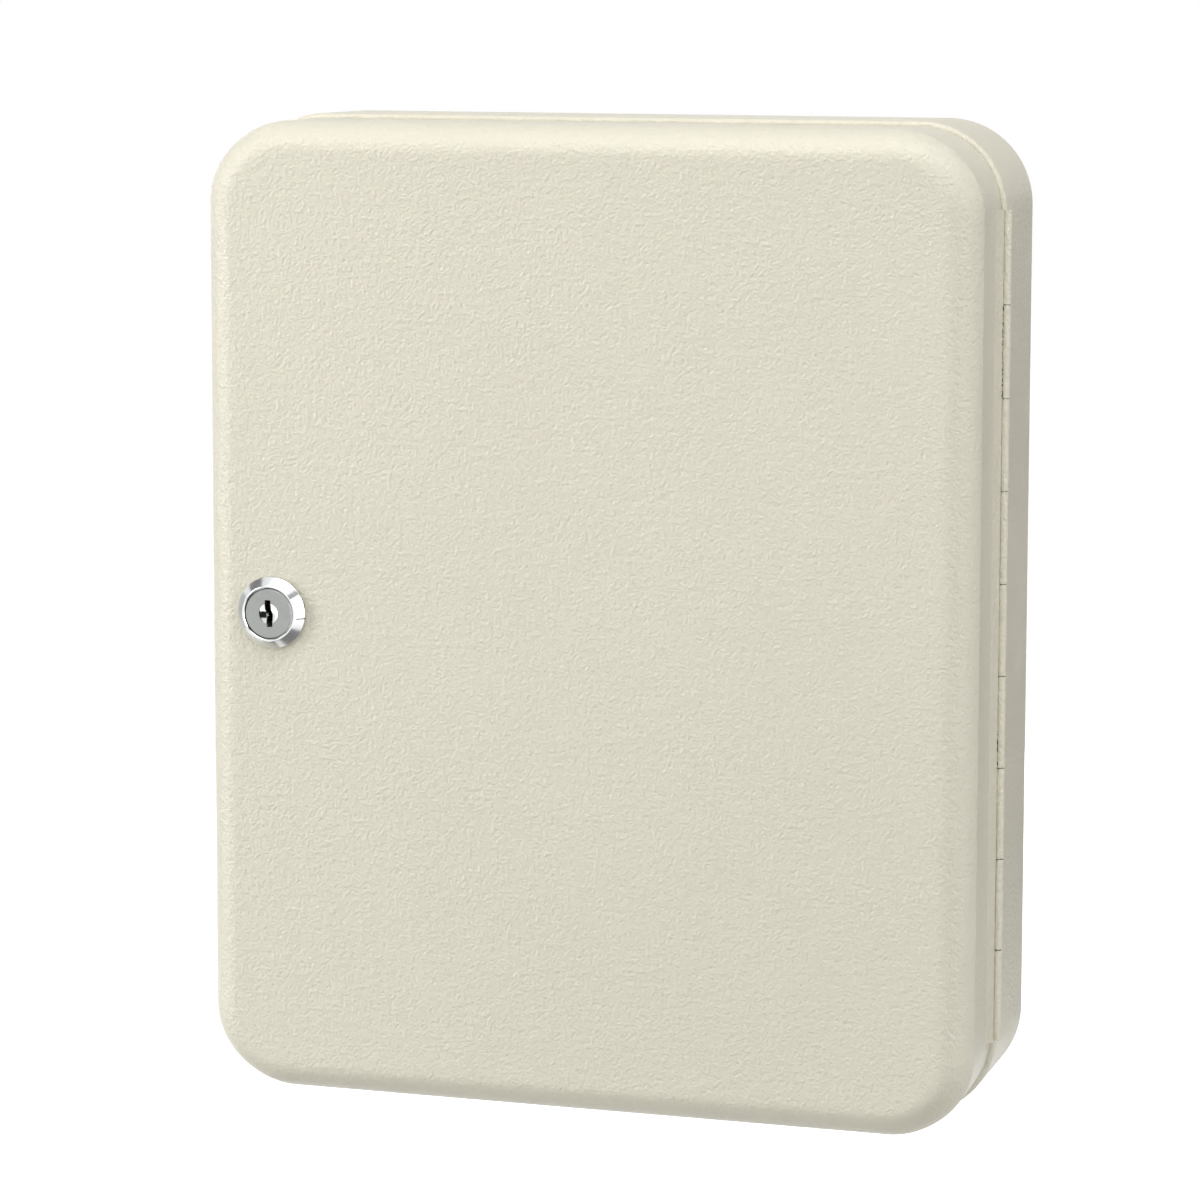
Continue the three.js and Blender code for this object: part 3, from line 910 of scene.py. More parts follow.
@dataclass(frozen=True)
class PowderCoat:
    """Ivory textured powder coat, with the chips beside the hinge knuckles."""

    name: str = "ivory_paint"
    colour: Colour = (0.700, 0.667, 0.550)
    chip_colour: Colour = (0.16, 0.14, 0.10)
    roughness: float = 0.34
    peel_depth: float = 0.40
    speck_colour: Colour = (0.12, 0.10, 0.07)
    tone_shares: Point2 = (0.97, 1.03)
    roughness_spread: Point2 = (-0.03, 0.06)
    smudge_scale: float = 26.0
    chip_line: Point2 = (120.3, -46.7)
    chip_reach: float = 0.4
    chip_spans: tuple[Point2, ...] = ((69.5, 96.5), (-41.0, -31.0))
    chip_scale: float = 900.0
    chip_share: float = 0.52

    def chips(self, maker: SurfaceMaker) -> Socket:
        """The mask of the short chips along the seam of the door's hinge leaf.

        Args:
            maker: The material's node maker.

        Returns:
            1 in a chip, else 0.
        """
        place = maker.node("ShaderNodeSeparateXYZ", {0: maker.place}).outputs
        near: Socket | float = 1.0
        for axis, middle in zip((0, 1), self.chip_line):
            within = maker.within(place[axis], middle - self.chip_reach, middle + self.chip_reach)
            near = maker.math("MULTIPLY", within, near)
        spans: Socket | float = 0.0
        for low, high in self.chip_spans:
            spans = maker.math("ADD", maker.within(place[2], low, high), spans)
        broken = maker.node("ShaderNodeTexNoise", {
            "Vector": maker.place, "Scale": self.chip_scale, "Detail": 2.0,
        }).outputs[0]
        mask = maker.math("MULTIPLY", near, maker.math("GREATER_THAN", broken, self.chip_share))
        return maker.math("MULTIPLY", mask, spans)

    def material(self, effects: Effects) -> bpy.types.Material:
        """Builds the material.

        Args:
            effects: The shared node groups.

        Returns:
            The material.
        """
        maker = SurfaceMaker(self.name, {"Specular IOR Level": 0.5})
        skin = maker.effect(effects.coat)
        marks = maker.effect(effects.handling, Smudge_Scale=self.smudge_scale)["Smudge"]
        tone = maker.mix(skin["Drift"], *(shaded(self.colour, share) for share in self.tone_shares))
        speckled = maker.mix(skin["Speck"], tone, self.speck_colour)
        maker.give("Base Color", maker.mix(self.chips(maker), speckled, self.chip_colour))
        maker.give("Roughness", maker.span(marks, *(self.roughness + more for more in self.roughness_spread)))
        maker.bump(skin["Height"], self.peel_depth)
        return maker.material


@dataclass(frozen=True)
class PlatedMetal:
    """A metal or plated finish with its own grain."""

    name: str
    colour: Colour
    roughness: float
    grain: Grain = Grain.TUMBLED
    grain_depth: float = 0.004
    middle: Point2 = (0.0, 0.0)
    tarnish: float = 0.85
    polished_radius: float = 0.0
    polished_roughness: float = 0.1
    polished_share: float = 1.7
    # The engraved index line, and the near-black colour that it is given.
    dark_line: tuple[Point2, Point2] | None = None
    dark_line_colour: Colour = (0.03, 0.028, 0.025)
    tone_shares: Point2 = (0.96, 1.03)
    smudge_scale: float = 140.0
    smudge_roughness: float = 1.35
    brush_stretch: float = 0.05

    def ring(self, maker: SurfaceMaker) -> tuple[Socket, Socket]:
        """Distance from the middle line, and Y along it.

        Args:
            maker: The material's node maker.

        Returns:
            The two values in metres.
        """
        centred = maker.node("ShaderNodeMapping", {
            "Vector": maker.place, "Location": (-self.middle[0] * MM, 0.0, -self.middle[1] * MM),
        }).outputs[0]
        part = maker.node("ShaderNodeSeparateXYZ", {0: centred}).outputs
        squares = maker.math("ADD", maker.math("POWER", part[0], 2.0), maker.math("POWER", part[2], 2.0))
        return maker.math("SQRT", squares), part[1]

    def grain_place(self, maker: SurfaceMaker) -> Socket:
        """Coordinates that stretch the marks the way they run.

        Args:
            maker: The material's node maker.

        Returns:
            The coordinates.
        """
        if self.grain is Grain.TUMBLED:
            return maker.place
        if self.grain is Grain.BRUSHED:
            stretch = (self.brush_stretch, 1.0, 1.0)
            return maker.node("ShaderNodeMapping", {"Vector": maker.place, "Scale": stretch}).outputs[0]
        ring, along = self.ring(maker)
        return maker.node("ShaderNodeCombineXYZ", {"X": ring, "Y": along}).outputs[0]

    def material(self, effects: Effects) -> bpy.types.Material:
        """Builds the material.

        Args:
            effects: The shared node groups.

        Returns:
            The material.
        """
        maker = SurfaceMaker(self.name, {"Metallic": 1.0})
        grain = maker.effect(effects.grain, self.grain_place(maker))
        marks = maker.effect(effects.handling, Smudge_Scale=self.smudge_scale)["Smudge"]
        tone = maker.mix(grain["Tone"], *(shaded(self.colour, share) for share in self.tone_shares))
        tone = maker.mix(marks, tone, shaded(self.colour, self.tarnish))
        rough = maker.span(marks, self.roughness, self.roughness * self.smudge_roughness)
        if self.polished_radius:
            inside = maker.math("LESS_THAN", self.ring(maker)[0], self.polished_radius * MM)
            tone = maker.mix(inside, tone, shaded(self.colour, self.polished_share))
            rough = maker.node("ShaderNodeMapRange", {
                "Value": inside, "To Min": rough, "To Max": self.polished_roughness,
            }).outputs[0]
        # The engraved index line is coloured near black.
        if self.dark_line:
            tone = maker.mix(self.dark_line_mask(maker), tone, self.dark_line_colour)
        maker.give("Base Color", tone)
        maker.give("Roughness", rough)
        maker.bump(grain["Height"], self.grain_depth)
        return maker.material

    def dark_line_mask(self, maker: SurfaceMaker) -> Socket:
        """The mask of the engraved line, which is coloured near black.

        Args:
            maker: The material's node maker.

        Returns:
            1 in the line, else 0.
        """
        place = maker.node("ShaderNodeSeparateXYZ", {0: maker.place}).outputs
        mask: Socket | float = 1.0
        for axis, (low, high) in zip((0, 2), self.dark_line):
            mask = maker.math("MULTIPLY", maker.within(place[axis], low, high), mask)
        return mask


@dataclass(frozen=True)
class PrintedCard:
    """Matt white strip of card, a little uneven, or the ink printed on it."""

    name: str
    colour: Colour
    roughness: float
    fibre_depth: float = 0.01
    fibre_scale: float = 900.0
    fleck_scale: float = 3200.0
    smudge_scale: float = 60.0
    tone_shares: Point2 = (0.97, 0.95)
    smudge_roughness: float = 0.08

    def material(self, effects: Effects) -> bpy.types.Material:
        """Builds the material.

        Args:
            effects: The shared node groups.

        Returns:
            The material.
        """
        maker = SurfaceMaker(self.name, {"Specular IOR Level": 0.35})
        fibre = maker.effect(effects.grain, Grain_Scale=self.fibre_scale, Pit_Scale=self.fleck_scale)
        marks = maker.effect(effects.handling, Smudge_Scale=self.smudge_scale)["Smudge"]
        dull, smudged = (shaded(self.colour, share) for share in self.tone_shares)
        maker.give("Base Color", maker.mix(marks, maker.mix(fibre["Tone"], dull, self.colour), smudged))
        maker.give("Roughness", maker.span(marks, self.roughness, self.roughness + self.smudge_roughness))
        maker.bump(fibre["Height"], self.fibre_depth)
        return maker.material


@dataclass(frozen=True)
class Palette:
    """The finished materials of the cabinet."""

    ivory: bpy.types.Material
    steel: bpy.types.Material
    zinc: bpy.types.Material
    chrome: bpy.types.Material
    nickel: bpy.types.Material
    brass: bpy.types.Material
    spring: bpy.types.Material
    card: bpy.types.Material
    ink: bpy.types.Material

    @classmethod
    def make(cls, lock_middle: Point2) -> "Palette":
        """Builds every finish.

        Args:
            lock_middle: X and Z of the lock's axis, for the turned marks.

        Returns:
            The palette.
        """
        effects = Effects(CoatTexture().group(), Handling().group(), MetalGrain().group())
        metals = {
            "steel": PlatedMetal("plain_steel", (0.46, 0.46, 0.45), 0.34, Grain.BRUSHED),
            "zinc": PlatedMetal("zinc_steel", (0.55, 0.56, 0.54), 0.38, grain_depth=0.006),
            "chrome": PlatedMetal(
                "bright_chrome", (0.76, 0.77, 0.77), 0.16, Grain.TURNED, grain_depth=0.003,
                # The bezel's engraved index line is coloured near black.
                middle=lock_middle, tarnish=0.95, dark_line=((-88.95, -86.6), (-1.47, -1.13)),
            ),
            "nickel": PlatedMetal(
                "satin_nickel", (0.35, 0.36, 0.345), 0.34, Grain.TURNED,
                middle=lock_middle, tarnish=0.92, polished_radius=3.12, polished_share=2.1,
            ),
            "brass": PlatedMetal("brass", (0.46, 0.30, 0.12), 0.34, Grain.BRUSHED),
            "spring": PlatedMetal("spring_steel", (0.32, 0.32, 0.32), 0.30),
        }
        return cls(
            ivory=PowderCoat().material(effects),
            card=PrintedCard("label_card", (0.86, 0.85, 0.80), 0.62).material(effects),
            ink=PrintedCard("number_ink", (0.025, 0.026, 0.03), 0.5).material(effects),
            **{name: finish.material(effects) for name, finish in metals.items()},
        )


# Casing and door

@dataclass
class Tray:
    """A drawn steel tray with round corners, open on one side."""

    name: str
    body: str
    nodes: tuple[str, ...]
    width: float
    height: float
    corner: float
    outside: float
    inside: float
    corner_steps: int = 24
    panel_edge: float = 1.0

    def profile(self) -> list[Point2]:
        """(inset, depth) points from the panel's outside, round the open edge, to its inside."""
        raise NotImplementedError

    def holes(self) -> list[list[Point2]]:
        """Outlines of the holes through the panel."""
        raise NotImplementedError

    def reliefs(self) -> list[Shape]:
        """Blocks that are cut away from the open edge."""
        return []

    def shape(self, point: Vector) -> Vector:
        """Where a point of the swept tray ends up, in mm."""
        return point

    def close_panel(self, work: bmesh.types.BMesh, depth: float) -> list[list[bmesh.types.BMVert]]:
        """Fills the panel at one depth, round its holes.

        Args:
            work: The mesh, with an open edge at that depth.
            depth: Y of the panel.

        Returns:
            The ring of points at each hole.
        """
        rim = [e for e in work.edges if e.is_boundary and abs(e.verts[0].co.y - depth * MM) < RIM]
        points = list({v for e in rim for v in e.verts})
        index = {v: i for i, v in enumerate(points)}
        edges = [(index[e.verts[0]], index[e.verts[1]]) for e in rim]
        rings = []
        for hole in self.holes():
            first = len(points)
            ring = [work.verts.new((x * MM, depth * MM, z * MM)) for x, z in hole]
            edges += [(first + i, first + (i + 1) % len(hole)) for i in range(len(hole))]
            points += ring
            rings.append(ring)
        flat = [Vector((v.co.x / MM, v.co.z / MM)) for v in points]
        found, _, triangles, origins, *_ = delaunay_2d_cdt(flat, edges, [], 0, PANEL_WELD)
        for face in triangles:
            middle = sum((found[i] for i in face), Vector((0, 0))) / 3
            if not any(is_inside(middle, hole) for hole in self.holes()):
                work.faces.new([points[origins[i][0]] for i in face])
        return rings

    def build(self, sweep: ShapeTree, finish: bpy.types.Material) -> bpy.types.Object:
        """Sweeps the wall, closes the panel and dresses the tray.

        Args:
            sweep: The tree that sweeps a profile round the tray's outline.
            finish: The material.

        Returns:
            The finished piece.
        """
        item = profile_object([(depth, inset) for inset, depth in self.profile()], closed=False)
        item.name = self.name
        sweep.grow(item, {
            "Width": self.width * MM, "Height": self.height * MM,
            "Corner Radius": self.corner * MM, "Corner Steps": self.corner_steps, "Finish": finish,
        })
        work = bmesh.new()
        work.from_mesh(item.data)
        bmesh.ops.remove_doubles(work, verts=work.verts, dist=RIM)
        outer, inner = self.close_panel(work, self.outside), self.close_panel(work, self.inside)
        for front, back in zip(outer, inner):
            for i in range(len(front)):
                j = (i + 1) % len(front)
                work.faces.new((front[i], front[j], back[j], back[i]))
        for vertex in work.verts:
            vertex.co = self.shape(vertex.co / MM) * MM
        work.to_mesh(item.data)
        work.free()
        tidy_mesh(item)
        for relief in self.reliefs():
            merge(item, relief, Merge.CUT)
        shade(item)
        return settle(item, self.body, finish, self.nodes)


@dataclass
class Casing(Tray):
    """The back tray, with the front frame that the cam turns in behind."""

    name: str = "casing_sheet"
    body: str = "cabinet_body"
    nodes: tuple[str, ...] = ("body_shell", "side_wall", "front_frame")
    width: float = 240.0
    height: float = 300.0
    corner: float = 26.0
    outside: float = 0.0
    inside: float = -1.0
    front: float = -43.1
    sheet: float = 1.0
    back_radius: float = 4.0
    front_radius: float = 1.5
    lip: float = 12.0
    lip_edge: float = 0.25
    lip_root: float = 0.1
    hole_diameter: float = 6.0
    hole_inset: float = 20.0
    taper: float = 0.1
    flare: float = 0.25

    def profile(self) -> list[Point2]:
        """The wall, rounded at the back, turned in at the front and back along the inside.

        Returns:
            (inset, depth) points.
        """
        back, front, edge = self.back_radius, self.front_radius, self.lip_edge
        inner = back - self.sheet
        lip_back = self.front + self.sheet
        return [
            (back + self.taper + self.panel_edge, 0.0),
            *arc((back + self.taper, -back), back, QUARTER, 2 * QUARTER, steps=8),
            *arc((front - self.flare, self.front + front), front, 2 * QUARTER, 3 * QUARTER, steps=5),
            *arc((self.lip - edge, self.front + edge), edge, -QUARTER, 0.0, steps=3),
            *arc((self.lip - edge, lip_back - edge), edge, 0.0, QUARTER, steps=3),
            (self.sheet + self.lip_root - self.flare, lip_back),
            (self.sheet - self.flare, lip_back + self.lip_root),
            *arc((back + self.taper, -back), inner, 2 * QUARTER, QUARTER, steps=6),
            (back + self.taper + self.panel_edge, self.inside),
        ]

    def holes(self) -> list[list[Point2]]:
        """The four wall holes.

        Returns:
            An outline in X and Z for each.
        """
        across, up = self.width / 2 - self.hole_inset, self.height / 2 - self.hole_inset
        return [
            arc((side * across, end * up), self.hole_diameter / 2, 0, 4 * QUARTER, steps=40)[:-1]
            for side in (-1, 1) for end in (-1, 1)
        ]


@dataclass
class Door(Tray):
    """The tray door with its soft front edge."""

    name: str = "door_sheet"
    body: str = "door"
    nodes: tuple[str, ...] = ("door_shell", "door_skirt")
    width: float = 238.0
    height: float = 298.0
    corner: float = 25.0
    outside: float = -80.0
    inside: float = -79.0
    back: float = -43.35
    sheet: float = 1.0
    front_oval: Point2 = (9.7, 12.0)
    front_lean: float = math.radians(75)
    front_steps: int = 16
    crease_radius: float = 1.2
    crease_steps: int = 4
    widening: float = 1.1
    widened_sides: Point2 = (107.0, 119.0)
    widest: float = -71.5
    tuck: float = 0.2
    cut_edge: float = 0.3
    leaf_reliefs: tuple[tuple[Point3, Point3], ...] = (
        ((117.2, -44.4, -124.8), (120.5, -42.0, 124.8)), ((118.9, -46.7, -124.8), (120.5, -42.0, 124.8)),
    )
    lock_x: float = -97.7
    lock_hole: float = 18.6
    lock_flats: float = 17.0

    def front_curve(self) -> list[tuple[Vector, Vector]]:
        """Points from the flat front to the skirt, each with the direction into the sheet.

        Returns:
            (inset, depth) points and directions.
        """
        lean, crease, (across, deep) = self.front_lean, self.crease_radius, self.front_oval
        sweep = math.atan(math.tan(lean) * across / deep)
        end = Vector((crease * (1 - math.sin(lean)), self.outside + deep * (1 - math.cos(sweep))))
        middle = end + crease * Vector((math.sin(lean), math.cos(lean)))
        curve = []
        for i in range(self.front_steps + 1):
            angle = sweep * i / self.front_steps
            along = Vector((-across * math.cos(angle), deep * math.sin(angle))).normalized()
            inset = end.x + across * (math.sin(sweep) - math.sin(angle))
            point = Vector((inset, self.outside + deep * (1 - math.cos(angle))))
            curve.append((point, Vector((along.y, -along.x))))
        for i in range(1, self.crease_steps + 1):
            angle = lean + (QUARTER - lean) * i / self.crease_steps
            inward = Vector((math.sin(angle), math.cos(angle)))
            curve.append((middle - crease * inward, inward))
        return curve

    def profile(self) -> list[Point2]:
        """The rounded front, the straight skirt, its cut edge and back along the inside.

        Returns:
            (inset, depth) points.
        """
        edge, sheet, curve = self.cut_edge, self.sheet, self.front_curve()
        flat = curve[0][0].x + self.panel_edge
        return [
            (flat, self.outside),
            *(tuple(point) for point, _ in curve),
            *arc((self.tuck + edge, self.back - edge), edge, 2 * QUARTER, QUARTER, steps=3),
            *arc((self.tuck + sheet - edge, self.back - edge), edge, QUARTER, 0, steps=3),
            *(tuple(point + sheet * inward) for point, inward in reversed(curve)),
            (flat, self.inside),
        ]

    def reliefs(self) -> list[Shape]:
        """The steps over the casing's hinge leaf and round its knuckles."""
        return [block(*corners) for corners in self.leaf_reliefs]

    def shape(self, point: Vector) -> Vector:
        """Widens the door at its two long sides, from its back edge to the front.

        Args:
            point: A point of the straight tray in mm.

        Returns:
            Its place on the widened door.
        """
        start, end = self.widened_sides
        side = min(max((abs(point.x) - start) / (end - start), 0), 1)
        front = min(max((self.back - point.y) / (self.back - self.widest), 0), 1)
        return point + Vector((math.copysign(self.widening * side * front, point.x), 0, 0))

    def holes(self) -> list[list[Point2]]:
        """The lock's round hole with two flats.

        Returns:
            Its outline in X and Z.
        """
        flat = math.asin(self.lock_flats / self.lock_hole)
        middle = (self.lock_x, 0.0)
        radius = self.lock_hole / 2
        return [[
            *arc(middle, radius, -flat, flat, steps=20),
            *arc(middle, radius, 2 * QUARTER - flat, 2 * QUARTER + flat, steps=20),
        ]]


# Piano hinge

@dataclass
class PianoHinge:
    """Two leaves of rolled knuckles on one pin."""

    axis: Point2 = (120.9, -45.0)
    length: float = 249.0
    knuckles: int = 9
    knuckle_gap: float = 0.3
    thickness: float = 0.7
    pin_diameter: float = 1.5
    pin_gap: float = 0.15
    relief: float = 0.15
    seam: float = 0.2
    trim_reach: float = 4.0
    bed_rise: float = 1.5
    bed_depth: float = 0.35
    bed_foot: Point2 = (2.0, 2.4)
    bed_foot_height: float = 0.14
    bed_overhang: float = 0.28
    hollow_end: float = math.radians(207)
    casing_leaf_width: float = 11.5
    door_leaf_width: float = 10.5
    roll: float = math.radians(290)
    edge: float = 0.2

    @property
    def middle_radius(self) -> float:
        """Radius of the rolled sheet's middle line."""
        return self.pin_diameter / 2 + self.pin_gap + self.thickness / 2

    @property
    def radius(self) -> float:
        """Outside radius of the knuckles."""
        return self.middle_radius + self.thickness / 2

    def blank(self, width: float, first: int) -> list[Point2]:
        """The flat blank of one leaf.

        Args:
            width: Distance from the leaf's edge to the pin.
            first: Number of the lowest knuckle, 0 or 1.

        Returns:
            (height, distance from the leaf's edge) points.
        """
        top = self.length / 2
        root = width - self.middle_radius - self.thickness / 2 - self.relief
        end = width + self.middle_radius * self.roll
        pitch = self.length / self.knuckles
        outline = [(-top, 0.0), (top, 0.0)]
        if first:
            outline.append((top, root))
        for i in reversed(range(first, self.knuckles, 2)):
            low = i * pitch - top + (self.knuckle_gap / 2 if i else 0)
            high = (i + 1) * pitch - top - (self.knuckle_gap / 2 if i < self.knuckles - 1 else 0)
            outline += [(high, root), (high, end), (low, end), (low, root)]
        if first:
            outline.append((-top, root))
        return outline

    def leaf(
        self, name: str, body: str, node: str, width: float, first: int, finish: bpy.types.Material
    ) -> None:
        """Builds one leaf.

        Args:
            name: Name of the piece.
            body: Body that it rides on.
            node: CAD node that it stands for.
            width: Distance from the leaf's edge to the pin.
            first: Number of its lowest knuckle. The odd leaf lies on the door's skirt.
            finish: The material.
        """
        runs = (Run(width), Run(self.middle_radius * self.roll, -self.roll))
        sheet = BentSheet((-width, self.middle_radius), 0.0, runs, self.thickness)
        upright = Matrix(((0, 1, 0, 0), (0, 0, 1, 0), (1, 0, 0, 0), (0, 0, 0, 1)))
        turn = Matrix.Rotation(QUARTER * first, 4, "Z")
        place = Matrix.Translation((*self.axis, 0)) @ turn @ upright
        item = make_object(name, sheet.solid(self.blank(width, first)).changed(place))
        soften(item, self.edge)
        if first:
            (x, y), top = self.axis, self.length
            low, high = (x - self.trim_reach, y - width - PAST, -top), (x, y - self.radius - self.relief, top)
            merge(item, block(low, high), Merge.CUT)
            join_objects(item, [self.bed(width)])
        shade(item)
        settle(item, body, finish, (node,))

    def bed(self, width: float) -> bpy.types.Object:
        """The coated plate of the door's leaf, which slopes up from the skirt to the knuckles.

        Args:
            width: Distance from the leaf's edge to the pin.

        Returns:
            The plate, in its place.
        """
        skirt, far = self.axis[0] - self.radius - self.bed_depth, self.axis[1] - width
        hug, (foot, shoulder) = self.radius + self.seam, self.bed_foot
        steep = math.acos((self.axis[0] - skirt - self.bed_rise) / hug)
        hollow = arc(self.axis, hug, 2 * QUARTER + steep, self.hollow_end, steps=5)
        rise = self.bed_foot_height
        outline = [(skirt, far + foot), (skirt + rise, far + shoulder), *hollow, (skirt, hollow[-1][1])]
        end = self.length / 2 + self.bed_overhang
        lying = prism(outline, -end, end)
        return tidy_mesh(make_object("leaf_bed", lying.changed(Matrix.Rotation(-QUARTER, 4, "X"))))

    def build(self, palette: Palette) -> None:
        """Builds both leaves and the pin.

        Args:
            palette: The finishes.
        """
        ivory = palette.ivory
        self.leaf("casing_leaf", "cabinet_body", "body_hinge_leaf", self.casing_leaf_width, 0, ivory)
        self.leaf("door_leaf", "door", "door_hinge_leaf", self.door_leaf_width, 1, ivory)
        radius, top, edge = self.pin_diameter / 2, self.length / 2, self.edge
        profile = [(0, -top), (radius - edge, -top), (radius, edge - top),
                   (radius, top - edge), (radius - edge, top), (0, top)]
        pin = make_object("hinge_wire", turned(profile, steps=32, axis=Axis.Z).moved(*self.axis, 0))
        shade(pin)
        settle(pin, "cabinet_body", palette.steel, ("hinge_pin",))


# Hook bars and number strips

@dataclass
class HookBar:
    """One bar with seven hooks stamped and bent from its lower edge."""

    width: float = 200.0
    height: float = 20.0
    thickness: float = 1.0
    corner: float = 3.0
    hooks: int = 7
    pitch: float = 28.0
    hook_width: float = 4.0
    hook_drop: float = 3.0
    hook_reach: float = 12.0
    hook_tip: float = 9.0
    bend_radius: float = 1.2
    root_radius: float = 0.8
    tip_radius: float = 1.7
    edge: float = 0.15
    weld_ring: Point2 = (1.5, 2.3)
    weld_slope: float = 0.25
    weld_height: float = 0.12
    weld_dents: Point2 = (0.02, 0.04)
    weld_root: float = 0.2
    weld_drop: float = 6.2
    bend_step: float = math.radians(15)

    def hook_places(self) -> list[float]:
        """X of each hook."""
        return [(i - (self.hooks - 1) / 2) * self.pitch for i in range(self.hooks)]

    def runs(self) -> tuple[Run, ...]:
        """The bar's middle line from its top edge to the hook's tip.

        Returns:
            Its straight and bent runs.
        """
        middle = self.bend_radius + self.thickness / 2
        bend = Run(middle * QUARTER, -QUARTER)
        down = self.height + self.hook_drop - self.thickness / 2 - middle
        out = self.hook_reach - self.thickness - 2 * middle
        up = self.hook_tip - self.thickness / 2 - middle
        return (Run(down), bend, Run(out), bend, Run(up))

    def tab(self, x: float, end: float) -> list[Point2]:
        """One hook's flat tab, from its right root to its left one.

        Args:
            x: The hook's place.
            end: Length of the blank at the hook.

        Returns:
            (across, along) points.
        """
        half, root, tip = self.hook_width / 2, self.root_radius, self.tip_radius
        low = self.height
        return [
            *arc((x + half + root, low + root), root, -QUARTER, -2 * QUARTER, steps=4),
            *arc((x + half - tip, end - tip), tip, 0, QUARTER, steps=6),
            *arc((x - half + tip, end - tip), tip, QUARTER, 2 * QUARTER, steps=6),
            *arc((x - half - root, low + root), root, 0, -QUARTER, steps=4),
        ]

    def blank(self) -> list[Point2]:
        """The flat blank of the bar and its hooks.

        Returns:
            (across, along) points.
        """
        right, radius = self.width / 2, self.corner
        end = sum(run.length for run in self.runs())
        outline = [
            *arc((right - radius, radius), radius, -QUARTER, 0, steps=6),
            *arc((right - radius, self.height - radius), radius, 0, QUARTER, steps=6),
        ]
        for x in reversed(self.hook_places()):
            outline += self.tab(x, end)
        return [
            *outline,
            *arc((radius - right, self.height - radius), radius, QUARTER, 2 * QUARTER, steps=6),
            *arc((radius - right, radius), radius, 2 * QUARTER, 3 * QUARTER, steps=6),
        ]

    def plain(self, row: ShapeTree, finish: bpy.types.Material) -> bpy.types.Object:
        """The bar with its back on Y = 0 and its middle at the origin, with its weld marks.

        Args:
            row: The tree that repeats a mesh in a row.
            finish: The material.

        Returns:
            A shaded object that isn't placed yet.
        """
        start = (-self.thickness / 2, self.height / 2)
        sheet = BentSheet(start, -QUARTER, self.runs(), self.thickness, self.bend_step)
        item = make_object("bar", sheet.solid(self.blank()))
        soften(item, self.edge)
        (inner, outer), slope, (dent, middle_dent) = self.weld_ring, self.weld_slope, self.weld_dents
        front, crest = -self.thickness, -self.thickness - self.weld_height
        root = front + self.weld_root
        ring = turned([
            (0, root), (outer, root), (outer, front), (outer - slope, crest),
            (inner + slope, crest), (inner, front - dent), (0, front - middle_dent),
        ], steps=24)
        marks = make_object("weld_marks", ring)
        count = self.hooks - 1
        row.grow(marks, {
            "Count": count, "Start": ((1 - count) / 2 * self.pitch * MM, 0, -self.weld_drop * MM),
            "Step": (self.pitch * MM, 0, 0), "Finish": finish,
        })
        shade(item)
        shade(marks)
        return join_objects(item, [marks])


def join_objects(item: bpy.types.Object, others: list[bpy.types.Object]) -> bpy.types.Object:
    """Joins other objects' meshes into one and removes them.

    Args:
        item: The object that stays.
        others: The objects that go into it.

    Returns:
        The same object.
    """
    bpy.ops.object.select_all(action="DESELECT")
    for one in (item, *others):
        one.select_set(True)
    bpy.context.view_layer.objects.active = item
    bpy.ops.object.join()
    return item


